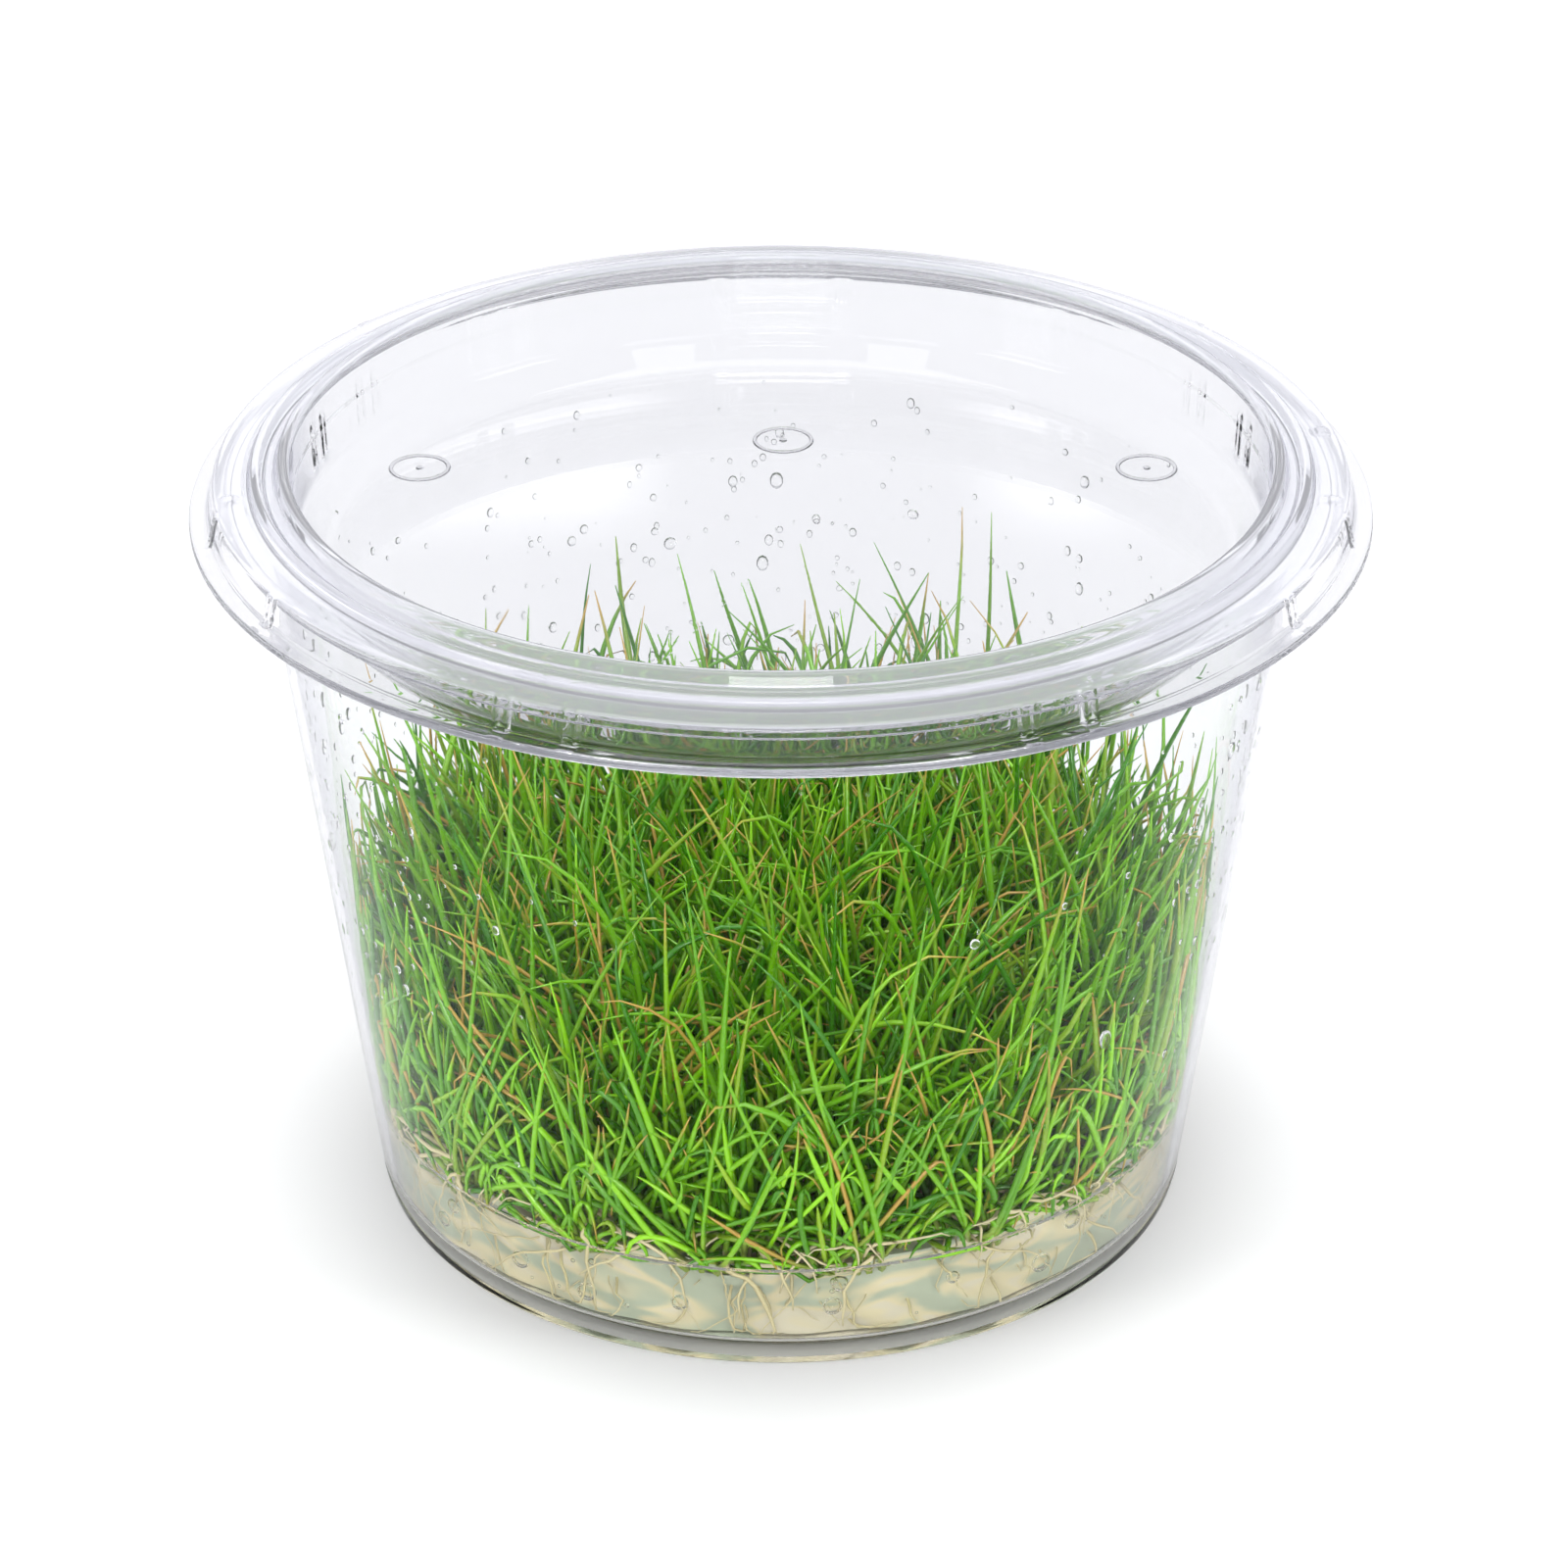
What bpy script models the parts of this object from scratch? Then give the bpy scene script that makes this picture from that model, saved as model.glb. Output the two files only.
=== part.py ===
"""Clear plastic culture cup with its plug lid, a layer of nutrient gel and a mat of small spikerush tufts.

Metres, +Z up. The origin is the middle of the foot ring, at table height. The front of the cup faces -Y.
"""

import math
import random

import bmesh
import bpy
from mathutils import Matrix, Vector

MM = 0.001
SIDES = 52  # facets round every turned piece
CLEARANCE = 0.3 * MM  # between pieces that touch in the real cup

# Driving dimensions of the cup
CUP_FOOT_RADIUS = 39.7 * MM
CUP_WALL_SLOPE = 0.1267  # outward lean of the wall, radius per height
CUP_WALL = 0.8 * MM
CUP_FLOOR_UNDERSIDE = 1.0 * MM
CUP_FLOOR_TOP = 1.9 * MM
CUP_RIM_UNDERSIDE = 71.2 * MM
CUP_RIM_TOP = 73.2 * MM
CUP_RIM_RADIUS = 51.5 * MM

# Driving dimensions of the lid
LID_RADIUS = 55.0 * MM
LID_SKIRT_RADIUS = 53.1 * MM
LID_SHOULDER_RADIUS = 52.5 * MM
LID_PLUG_RADIUS = 45.4 * MM
LID_WALL = 0.8 * MM
LID_HEM_BOTTOM = 70.5 * MM
LID_LEDGE = 74.3 * MM
LID_OUTER_RIDGE_RADIUS = 48.8 * MM
LID_OUTER_RIDGE_TOP = 75.2 * MM
LID_INNER_RIDGE_RADIUS = 46.2 * MM
LID_TOP = 76.0 * MM
LID_PANEL = 65.1 * MM

# Small raised details of the lid, as degrees round from the front, positive towards +X
SKIRT_RIB_ANGLES = (-77.0, -58.0, -26.3, -19.5, 23.1, 29.4, 58.0, 77.0, 128.0, -128.0)
SKIRT_RIB = (1.3 * MM, 2.6 * MM, 0.35 * MM)  # width, height, how far it stands proud
PLUG_RIB_ANGLES = (102.0, 105.5, 116.0, 119.5, 138.5, 142.5)  # and mirrored
PLUG_RIB = (0.9 * MM, 4.0 * MM, 0.4 * MM)
TAB_HALF_ANGLE = 9.0  # the finger tab inside the plug wall, at the back
TAB_POST_ANGLE = 2.0
TAB_BOTTOM = 66.0 * MM
TAB_TOP = 73.8 * MM
GATE_MARKS = ((-35.1 * MM, 17.9 * MM), (0.2 * MM, 24.3 * MM), (35.5 * MM, 17.9 * MM))
GATE_MARK_RADIUS = 2.9 * MM
GATE_MARK_HEIGHT = 0.2 * MM

# Driving dimensions of the gel and the plants
GEL_TOP = 10.3 * MM
GEL_MENISCUS = 0.6 * MM
TUFT_RINGS = 3
TUFT_SPACING = 11.2 * MM
TUFT_JITTER = 0.35 * MM
TUFT_SPREAD = 0.10  # how much further out a tuft stands at leaf height than at the gel
LEAVES_PER_TUFT = 6
ROOT_DEPTH = 6.2 * MM
ROOT_RADIUS = 1.7 * MM
SHEAF_LEVELS = ((15.5 * MM, 4.4 * MM), (29.0 * MM, 5.3 * MM))  # height and radius
FLUTE_DEPTHS = (0.9, 0.8, 0.66)  # radius between leaves as a share, at the gel and at each level
LEAF_TIP_LOW = 41.0 * MM
LEAF_TIP_HIGH = 54.0 * MM
LEAF_REACH = (2.2 * MM, 5.0 * MM)  # how far a tip stands from the middle of its tuft
SOCKET_SIDES = 6


def cup_outer_radius(height):
    """Radius of the outside of the cup's wall at a height."""
    return CUP_FOOT_RADIUS + CUP_WALL_SLOPE * height


def cup_inner_radius(height):
    """Radius of the inside of the cup's wall at a height."""
    return cup_outer_radius(height) - CUP_WALL


def heading(angle):
    """Unit vector at an angle in degrees round from the front, positive towards +X."""
    turn = math.radians(angle)
    return Vector((math.sin(turn), -math.cos(turn), 0.0))


def make_material(name, colour, roughness, transmission=0.0, ior=1.45):
    """A plain finish for one kind of piece."""
    material = bpy.data.materials.new(name)
    material.use_nodes = True
    shader = material.node_tree.nodes["Principled BSDF"]
    shader.inputs["Base Color"].default_value = (*colour, 1.0)
    shader.inputs["Roughness"].default_value = roughness
    shader.inputs["Metallic"].default_value = 0.0
    shader.inputs["Transmission Weight"].default_value = transmission
    shader.inputs["IOR"].default_value = ior
    material.diffuse_color = (*colour, 1.0 - 0.7 * transmission)
    return material


def add_object(name, bm, material=None):
    """Turns a bmesh into a named object with its faces pointing out."""
    bmesh.ops.recalc_face_normals(bm, faces=bm.faces)
    mesh = bpy.data.meshes.new(name)
    bm.to_mesh(mesh)
    bm.free()
    obj = bpy.data.objects.new(name, mesh)
    bpy.context.scene.collection.objects.link(obj)
    if material is not None:
        mesh.materials.append(material)
        mesh.shade_smooth()
        mesh.set_sharp_from_angle(angle=math.radians(35))
    return obj


def turned(name, profile, material=None, sides=SIDES):
    """A solid of revolution. The profile is (radius, height) points that start and end on the axis."""
    bm = bmesh.new()
    rings = []
    for radius, height in profile:
        if radius == 0:
            rings.append([bm.verts.new((0, 0, height))])
            continue
        turns = [2 * math.pi * side / sides for side in range(sides)]
        rings.append(
            [bm.verts.new((radius * math.cos(t), radius * math.sin(t), height)) for t in turns]
        )
    for ring, following in zip(rings, rings[1:]):
        for side in range(sides):
            beside = (side + 1) % sides
            if len(ring) == 1:
                bm.faces.new((ring[0], following[beside], following[side]))
            elif len(following) == 1:
                bm.faces.new((ring[side], ring[beside], following[0]))
            else:
                bm.faces.new((ring[side], ring[beside], following[beside], following[side]))
    return add_object(name, bm, material)


def arc_block(name, angle, half_angle, inner, outer, low, high, steps=1):
    """A block bent round the axis, centred on an angle and between two radii and two heights."""
    bm = bmesh.new()
    sections = []
    for step in range(steps + 1):
        way = heading(angle - half_angle + 2 * half_angle * step / steps)
        corners = ((inner, low), (outer, low), (outer, high), (inner, high))
        sections.append([bm.verts.new(way * r + Vector((0, 0, z))) for r, z in corners])
    bm.faces.new(sections[0])
    bm.faces.new(sections[-1])
    for section, following in zip(sections, sections[1:]):
        for corner in range(4):
            beside = (corner + 1) % 4
            bm.faces.new(
                (section[corner], section[beside], following[beside], following[corner])
            )
    return add_object(name, bm)


def rib(name, angle, radius, middle, size, outward):
    """A small upright pad with cut corners on a round wall, proud outward or towards the axis."""
    width, height, proud = size
    cut = 0.35 * width
    outline = (
        (width / 2, height / 2 - cut),
        (width / 2 - cut, height / 2),
        (cut - width / 2, height / 2),
        (-width / 2, height / 2 - cut),
        (-width / 2, cut - height / 2),
        (cut - width / 2, -height / 2),
        (width / 2 - cut, -height / 2),
        (width / 2, cut - height / 2),
    )
    way = heading(angle)
    along = Vector((-way.y, way.x, 0.0))
    rooted = 0.4 * MM  # how deep the pad's foot is sunk in the wall
    near, far = (radius - rooted, radius + proud)
    if not outward:
        near, far = (radius - proud, radius + rooted)
    bm = bmesh.new()
    faces = []
    for distance in (near, far):
        points = [
            way * distance + along * x + Vector((0, 0, middle + z)) for x, z in outline
        ]
        faces.append([bm.verts.new(point) for point in points])
        bm.faces.new(faces[-1])
    for corner in range(len(outline)):
        beside = (corner + 1) % len(outline)
        bm.faces.new(
            (faces[0][corner], faces[0][beside], faces[1][beside], faces[1][corner])
        )
    return add_object(name, bm)


def combine(target, helpers, operation):
    """Joins hidden helper solids to an object, or cuts them out of it."""
    group = bpy.data.collections.new(f"{target.name}_{operation.lower()}_helpers")
    bpy.context.scene.collection.children.link(group)
    for helper in helpers:
        bpy.context.scene.collection.objects.unlink(helper)
        group.objects.link(helper)
        helper.hide_render = True
        helper.display_type = "WIRE"
    modifier = target.modifiers.new(f"{operation.lower()}_details", "BOOLEAN")
    modifier.operation = operation
    modifier.operand_type = "COLLECTION"
    modifier.collection = group
    modifier.solver = "EXACT"


def make_cup(material):
    """The tapered cup: a foot ring under a raised floor, a thin wall, and a rolled rim."""
    foot_inner = CUP_FOOT_RADIUS - 1.9 * MM
    wall_low = 0.7 * MM
    wall_high = CUP_RIM_UNDERSIDE - 0.3 * MM
    fillet = 1.3 * MM
    profile = [
        (0, CUP_FLOOR_UNDERSIDE),
        (foot_inner - 0.8 * MM, CUP_FLOOR_UNDERSIDE),
        (foot_inner, 0),
        (CUP_FOOT_RADIUS - 0.5 * MM, 0),
        (cup_outer_radius(wall_low), wall_low),
        (cup_outer_radius(wall_high), wall_high),
        (CUP_RIM_RADIUS - 0.3 * MM, CUP_RIM_UNDERSIDE + 0.3 * MM),
        (CUP_RIM_RADIUS, CUP_RIM_UNDERSIDE + 0.7 * MM),
        (CUP_RIM_RADIUS - 0.3 * MM, CUP_RIM_UNDERSIDE + 1.2 * MM),
        (cup_outer_radius(CUP_RIM_TOP) + 0.9 * MM, CUP_RIM_TOP - 0.4 * MM),
        (cup_outer_radius(CUP_RIM_TOP), CUP_RIM_TOP),
        (cup_inner_radius(CUP_RIM_TOP) + 0.2 * MM, CUP_RIM_TOP - 0.2 * MM),
        (cup_inner_radius(wall_high), wall_high),
        (cup_inner_radius(CUP_FLOOR_TOP + fillet), CUP_FLOOR_TOP + fillet),
        (cup_inner_radius(CUP_FLOOR_TOP) - fillet, CUP_FLOOR_TOP),
        (0, CUP_FLOOR_TOP),
    ]
    return turned("cup", profile, material)


def lid_profile():
    """Half section of the lid: out along its underside, round the hem, and back to the axis on top."""
    plug_outside = LID_PLUG_RADIUS + LID_WALL
    channel_top = CUP_RIM_TOP + CLEARANCE
    skirt_inside = CUP_RIM_RADIUS + CLEARANCE
    underneath = [
        (0, LID_PANEL - LID_WALL),
        (LID_PLUG_RADIUS - 0.5 * MM, LID_PANEL - LID_WALL),
        (plug_outside - 0.5 * MM, LID_PANEL - 0.2 * MM),
        (plug_outside + 0.2 * MM, LID_PANEL + 4.0 * MM),
        (plug_outside + 0.7 * MM, LID_PANEL + 4.9 * MM),
        (plug_outside + 0.3 * MM, LID_PANEL + 5.8 * MM),
        (plug_outside + 0.5 * MM, channel_top),
        (skirt_inside - 0.3 * MM, channel_top),
        (skirt_inside, channel_top - 0.4 * MM),
        (skirt_inside + 0.3 * MM, LID_HEM_BOTTOM + 1.2 * MM),
        (skirt_inside - 0.5 * MM, LID_HEM_BOTTOM + 0.35 * MM),
        (skirt_inside, LID_HEM_BOTTOM),
    ]
    hem = [
        (LID_RADIUS - 0.3 * MM, LID_HEM_BOTTOM),
        (LID_RADIUS, LID_HEM_BOTTOM + 0.3 * MM),
        (LID_RADIUS - 0.2 * MM, LID_HEM_BOTTOM + 0.7 * MM),
        (LID_SKIRT_RADIUS + 0.6 * MM, LID_HEM_BOTTOM + 0.8 * MM),
        (LID_SKIRT_RADIUS, LID_HEM_BOTTOM + 1.1 * MM),
    ]
    ledge = [
        (LID_SHOULDER_RADIUS + 0.1 * MM, LID_LEDGE - 0.7 * MM),
        (LID_SHOULDER_RADIUS - 0.3 * MM, LID_LEDGE - 0.1 * MM),
        (LID_SHOULDER_RADIUS - 1.0 * MM, LID_LEDGE),
        (LID_OUTER_RIDGE_RADIUS + 0.8 * MM, LID_LEDGE),
    ]
    ridges = [
        (LID_OUTER_RIDGE_RADIUS + 0.3 * MM, LID_OUTER_RIDGE_TOP - 0.2 * MM),
        (LID_OUTER_RIDGE_RADIUS - 0.3 * MM, LID_OUTER_RIDGE_TOP),
        (LID_INNER_RIDGE_RADIUS + 1.5 * MM, LID_LEDGE + 0.2 * MM),
        (LID_INNER_RIDGE_RADIUS + 0.9 * MM, LID_LEDGE + 0.4 * MM),
        (LID_INNER_RIDGE_RADIUS + 0.4 * MM, LID_TOP - 0.2 * MM),
        (LID_INNER_RIDGE_RADIUS - 0.3 * MM, LID_TOP),
    ]
    recess = [
        (LID_PLUG_RADIUS + 0.1 * MM, LID_TOP - 0.6 * MM),
        (LID_PLUG_RADIUS - 0.2 * MM, LID_PANEL + 0.8 * MM),
        (LID_PLUG_RADIUS - 0.9 * MM, LID_PANEL),
        (0, LID_PANEL),
    ]
    return underneath + hem + ledge + ridges + recess


def lid_details():
    """The ribs, the finger tab and the three round gate marks, as helper solids that join the lid."""
    skirt_middle = (LID_HEM_BOTTOM + 1.1 * MM + LID_LEDGE) / 2 - 0.2 * MM
    skirt_face = (LID_SKIRT_RADIUS + LID_SHOULDER_RADIUS) / 2
    for angle in SKIRT_RIB_ANGLES:
        yield rib(f"skirt_rib_{angle:+.0f}", angle, skirt_face, skirt_middle, SKIRT_RIB, True)
    plug_middle = LID_TOP - 4.8 * MM
    for angle in PLUG_RIB_ANGLES:
        for side in (-angle, angle):
            name = f"plug_rib_{side:+.0f}"
            yield rib(name, side, LID_PLUG_RADIUS, plug_middle, PLUG_RIB, False)
    behind = 180.0
    sunk = LID_PLUG_RADIUS + 0.4 * MM
    web = LID_PLUG_RADIUS - 0.7 * MM
    web_low, web_high = (TAB_BOTTOM + 0.4 * MM, TAB_BOTTOM + 4.5 * MM)
    yield arc_block("tab_web", behind, TAB_HALF_ANGLE, web, sunk, web_low, web_high, 4)
    for side in (-1, 1):
        name = f"tab_post_{side:+d}"
        angle = behind + side * (TAB_HALF_ANGLE - TAB_POST_ANGLE / 2)
        post = LID_PLUG_RADIUS - 1.2 * MM
        yield arc_block(name, angle, TAB_POST_ANGLE / 2, post, sunk, TAB_BOTTOM, TAB_TOP)
    for number, (x, y) in enumerate(GATE_MARKS, start=1):
        bm = bmesh.new()
        thickness = GATE_MARK_HEIGHT + LID_WALL / 2
        bmesh.ops.create_cone(
            bm,
            cap_ends=True,
            segments=16,
            radius1=GATE_MARK_RADIUS,
            radius2=GATE_MARK_RADIUS,
            depth=thickness,
            matrix=Matrix.Translation((x, y, LID_PANEL + GATE_MARK_HEIGHT - thickness / 2)),
        )
        yield add_object(f"gate_mark_{number}", bm)


def make_lid(material):
    """The plug lid: a sunk panel, a stepped rim, and a ribbed skirt with a turned-out hem."""
    lid = turned("lid", lid_profile(), material)
    combine(lid, list(lid_details()), "UNION")
    return lid


def tuft_places(rng):
    """Where each tuft grows: one in the middle and rings of six, twelve and eighteen round it."""
    yield Vector((0, 0, 0))
    for ring in range(1, TUFT_RINGS + 1):
        count = 6 * ring
        for number in range(count):
            way = heading(360.0 * (number + 0.5 * (ring % 2)) / count)
            shift = Vector((rng.uniform(-1, 1), rng.uniform(-1, 1), 0)) * TUFT_JITTER
            yield way * (TUFT_SPACING * ring) + shift


def tuft_axis(place, height):
    """Middle of a tuft at a height: tufts lean outwards with the wall of the cup."""
    rise = (height - GEL_TOP) / (40 * MM - GEL_TOP)
    lean = 1 + TUFT_SPREAD * max(rise, 0.0)
    return Vector((place.x * lean, place.y * lean, height))


def make_tuft(name, place, rng, material):
    """One plant: a root cone, a fluted sheaf of leaves, and a pointed tip for each leaf."""
    corners = 2 * LEAVES_PER_TUFT
    turn = rng.uniform(0, 360)
    bm = bmesh.new()
    root_tip = bm.verts.new(tuft_axis(place, GEL_TOP - ROOT_DEPTH))
    rings = []
    crown_height = GEL_TOP + CLEARANCE
    for level, (height, radius) in enumerate(((crown_height, ROOT_RADIUS), *SHEAF_LEVELS)):
        ring = []
        for corner in range(corners):
            flute = 1.0 if corner % 2 == 0 else FLUTE_DEPTHS[level]
            way = heading(turn + 360.0 * corner / corners)
            ring.append(bm.verts.new(tuft_axis(place, height) + way * radius * flute))
        rings.append(ring)
    for corner in range(corners):
        beside = (corner + 1) % corners
        bm.faces.new((root_tip, rings[0][beside], rings[0][corner]))
        for ring, following in zip(rings, rings[1:]):
            bm.faces.new((ring[corner], ring[beside], following[beside], following[corner]))
    heart = bm.verts.new(tuft_axis(place, SHEAF_LEVELS[-1][0] - 3 * MM))
    for leaf in range(LEAVES_PER_TUFT):
        left, middle, right = (
            rings[-1][(2 * leaf + step) % corners] for step in (-1, 0, 1)
        )
        way = heading(turn + 360.0 * leaf / LEAVES_PER_TUFT + rng.uniform(-14, 14))
        height = rng.uniform(LEAF_TIP_LOW, LEAF_TIP_HIGH)
        tip = bm.verts.new(tuft_axis(place, height) + way * rng.uniform(*LEAF_REACH))
        for first, second in ((left, middle), (middle, right), (right, heart), (heart, left)):
            bm.faces.new((first, second, tip))
    return add_object(name, bm, material)


def make_gel(material, places):
    """The gel: a disc in the foot of the cup, raised at the wall, with a socket for each root cone."""
    low = CUP_FLOOR_TOP + CLEARANCE
    edge = GEL_TOP + GEL_MENISCUS
    profile = [
        (0, low),
        (cup_inner_radius(low) - CLEARANCE - 1.4 * MM, low),
        (cup_inner_radius(low + 1.5 * MM) - CLEARANCE, low + 1.5 * MM),
        (cup_inner_radius(edge) - CLEARANCE, edge),
        (cup_inner_radius(edge) - 2.0 * MM, GEL_TOP),
        (0, GEL_TOP),
    ]
    gel = turned("gel", profile, material)
    above = GEL_TOP + 1.0 * MM
    deep = GEL_TOP - ROOT_DEPTH - 4 * CLEARANCE
    crown_radius = (ROOT_RADIUS + CLEARANCE) / math.cos(math.pi / SOCKET_SIDES)
    widening = crown_radius / (GEL_TOP + CLEARANCE - deep)
    sockets = []
    for number, place in enumerate(places, start=1):
        bm = bmesh.new()
        bmesh.ops.create_cone(
            bm,
            cap_ends=True,
            segments=SOCKET_SIDES,
            radius1=0,
            radius2=widening * (above - deep),
            depth=above - deep,
            matrix=Matrix.Translation((place.x, place.y, (above + deep) / 2)),
        )
        bmesh.ops.remove_doubles(bm, verts=bm.verts, dist=0.01 * MM)
        sockets.append(add_object(f"socket_{number:02d}", bm))
    combine(gel, sockets, "DIFFERENCE")
    return gel


def main():
    for obj in list(bpy.data.objects):
        bpy.data.objects.remove(obj)
    clear_cup = make_material("clear_cup_plastic", (0.95, 0.97, 0.98), 0.04, 0.95, 1.49)
    clear_lid = make_material("clear_lid_plastic", (0.94, 0.95, 0.99), 0.05, 0.95, 1.49)
    clear_gel = make_material("nutrient_gel", (0.93, 0.89, 0.76), 0.12, 0.7, 1.34)
    leaf_green = make_material("spikerush_leaf", (0.12, 0.36, 0.03), 0.4)
    rng = random.Random(41)
    places = list(tuft_places(rng))
    make_cup(clear_cup)
    make_lid(clear_lid)
    make_gel(clear_gel, places)
    for number, place in enumerate(places, start=1):
        make_tuft(f"tuft_{number:02d}", place, rng, leaf_green)


main()
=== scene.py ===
"""Looks of a small spikerush culture cup: clear plastic cup and lid, nutrient gel, leaves, roots and dew.

Metres, +Z up, in the same frame as the solids. The front of the cup faces -Y.
Angles round the cup are in degrees from the front, positive towards +X.
"""

import math

import bpy
import numpy as np
from bpy.props import FloatProperty, FloatVectorProperty, IntProperty, PointerProperty
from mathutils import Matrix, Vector


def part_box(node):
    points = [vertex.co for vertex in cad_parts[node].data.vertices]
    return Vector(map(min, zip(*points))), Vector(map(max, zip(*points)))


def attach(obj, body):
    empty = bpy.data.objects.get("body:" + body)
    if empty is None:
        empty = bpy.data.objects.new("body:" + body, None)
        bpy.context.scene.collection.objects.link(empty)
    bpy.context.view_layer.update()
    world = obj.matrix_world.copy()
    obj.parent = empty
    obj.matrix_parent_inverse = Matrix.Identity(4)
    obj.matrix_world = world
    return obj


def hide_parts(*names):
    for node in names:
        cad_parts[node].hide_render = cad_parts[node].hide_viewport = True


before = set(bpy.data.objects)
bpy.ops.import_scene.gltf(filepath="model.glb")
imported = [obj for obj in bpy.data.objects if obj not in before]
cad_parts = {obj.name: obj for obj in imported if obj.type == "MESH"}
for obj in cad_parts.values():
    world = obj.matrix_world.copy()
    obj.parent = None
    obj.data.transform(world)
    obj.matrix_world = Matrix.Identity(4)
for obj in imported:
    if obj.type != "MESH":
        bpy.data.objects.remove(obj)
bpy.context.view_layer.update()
LID_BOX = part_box("lid")
CUP_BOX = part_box("cup")
GEL_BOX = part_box("gel")

bl_info = {
    "name": "Spikerush culture cup",
    "version": (1, 0, 0),
    "blender": (4, 5, 0),
    "location": "View3D > Sidebar > Spikerush",
    "description": "Builds a clear lidded culture cup with gel and a mat of small spikerush",
    "category": "Add Mesh",
}

MM = 0.001
BODY = "root"
LEAF_MAP = "OFBake"  # each leaf or root has a strip of this map: across says which, up says how far along it

# Seeds of the random draws; the tufts count on from the first of theirs
GEL_SEED = 7
DEW_SEED = 23
FIRST_TUFT_SEED = 100

# How finely the meshes are cut
CUP_TURNS = 300
LID_TURNS = 340
GEL_TURNS = 180
STRAND_SIDES = 4
LEAF_STEPS = 11
ROOT_STEPS = 13

# Moulded details of the lid, at the same angles as on the solid
SKIRT_RIB_ANGLES = (-77.0, -58.0, -26.3, -19.5, 23.1, 29.4, 58.0, 77.0, 128.0, -128.0)
PLUG_RIB_ANGLES = (102.0, 105.5, 116.0, 119.5, 138.5, 142.5)
LEDGE_LUG_ANGLES = (-80.0, 80.0, 97.0)
TAB_ANGLE = 180.0
TAB_HALF_ANGLE = 9.0
GATE_MARKS = ((-35.1 * MM, 17.9 * MM), (0.2 * MM, 24.3 * MM), (35.5 * MM, 17.9 * MM))
HEM_BOTTOM = 70.5 * MM

# How far the cloudy core stays inside the gel, and how strongly gel and water bend light
CORE_INSET = 2.2 * MM
GEL_IOR = 1.34
WATER_IOR = 1.33

# The larger bubbles in the gel, as angle, height in millimetres and radius in millimetres
LARGE_BUBBLES = (
    (-39, 5.6, 1.0), (-28, 4.6, 1.0), (-14, 5.8, 0.85), (7, 6.0, 0.95), (8, 8.6, 0.9), (39, 5.2, 1.05),
    (44, 8.8, 1.0), (-52, 7.6, 0.8), (-55, 5.0, 0.85), (24, 7.4, 0.7), (75, 6.4, 0.9), (110, 5.0, 1.0),
    (150, 7.0, 0.9), (-92, 6.0, 1.0), (-130, 5.2, 0.8), (-168, 6.6, 0.9),
)

# The mat of plants: its radius, where its outer tufts begin, and how far their leaves and roots spread
MAT_RADIUS = 34.0 * MM
OUTER_TUFTS = 28.0 * MM
LEAF_SPREAD = 5.2 * MM
ROOT_SPREAD = 4.0 * MM

# Where leaves and drops end below the lid's panel, and how leaves keep off the wall higher up
LEAF_CEILING = 56.5 * MM
DEW_CEILING = 61.0 * MM
WALL_GAP = 0.45 * MM
LEAN_OFF_HEIGHT = 14.0 * MM
LEAN_OFF_SLOPE = 0.06

# Left and right edges of the two windows behind the cup, as the sideways part of their direction
WINDOWS = ((-0.11, -0.03), (0.046, 0.072))
WINDOW_SOFTNESS = 0.012

# Between which upward parts of the direction the windows fade in at their foot and out at their head
WINDOW_FOOT = (0.375, 0.4)
WINDOW_HEAD = (0.42, 0.44)

# Half the width of the studio's floor
FLOOR_HALF = 3.0

# Soft lamps as name, place, aim, width and height, and power in watts
LAMPS = (
    ("top_softbox", (0, 0.15, 1.5), (0, 0, 0), (1.1, 0.9), 16.5),
    ("left_softbox", (-1.1, -0.5, 0.8), (0, 0, 0.04), (0.45, 0.6), 5.0),
    ("right_softbox", (1.1, -0.35, 0.7), (0, 0, 0.04), (0.4, 0.6), 4.0),
    ("front_softbox", (0, -1.3, 0.45), (0, 0, 0.02), (0.5, 0.3), 7.0),
)


class CupSettings(bpy.types.PropertyGroup):
    """Sizes and tint of the cup."""

    foot_radius: FloatProperty(
        name="Foot radius", description="Outside radius at the table", default=39.7 * MM, unit="LENGTH"
    )
    wall_slope: FloatProperty(
        name="Wall slope", description="Outward lean of the wall, radius per height", default=0.1267
    )
    wall: FloatProperty(
        name="Wall", description="Thickness of the wall", default=0.8 * MM, precision=5, unit="LENGTH"
    )
    floor_top: FloatProperty(
        name="Floor", description="Height of its upper face", default=1.9 * MM, precision=5, unit="LENGTH"
    )
    rim_underside: FloatProperty(
        name="Rim underside", description="Height where the rim begins", default=72.35 * MM, unit="LENGTH"
    )
    tint: FloatVectorProperty(
        name="Tint", description="Colour of the plastic", subtype="COLOR", default=(0.915, 0.92, 0.925)
    )
    # Painted edge shade: the darker colour the cup's plastic turns to where it is seen edge on
    edge: FloatVectorProperty(
        name="Edge", description="Colour seen edge on", subtype="COLOR", default=(0.5, 0.5, 0.56)
    )


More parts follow.
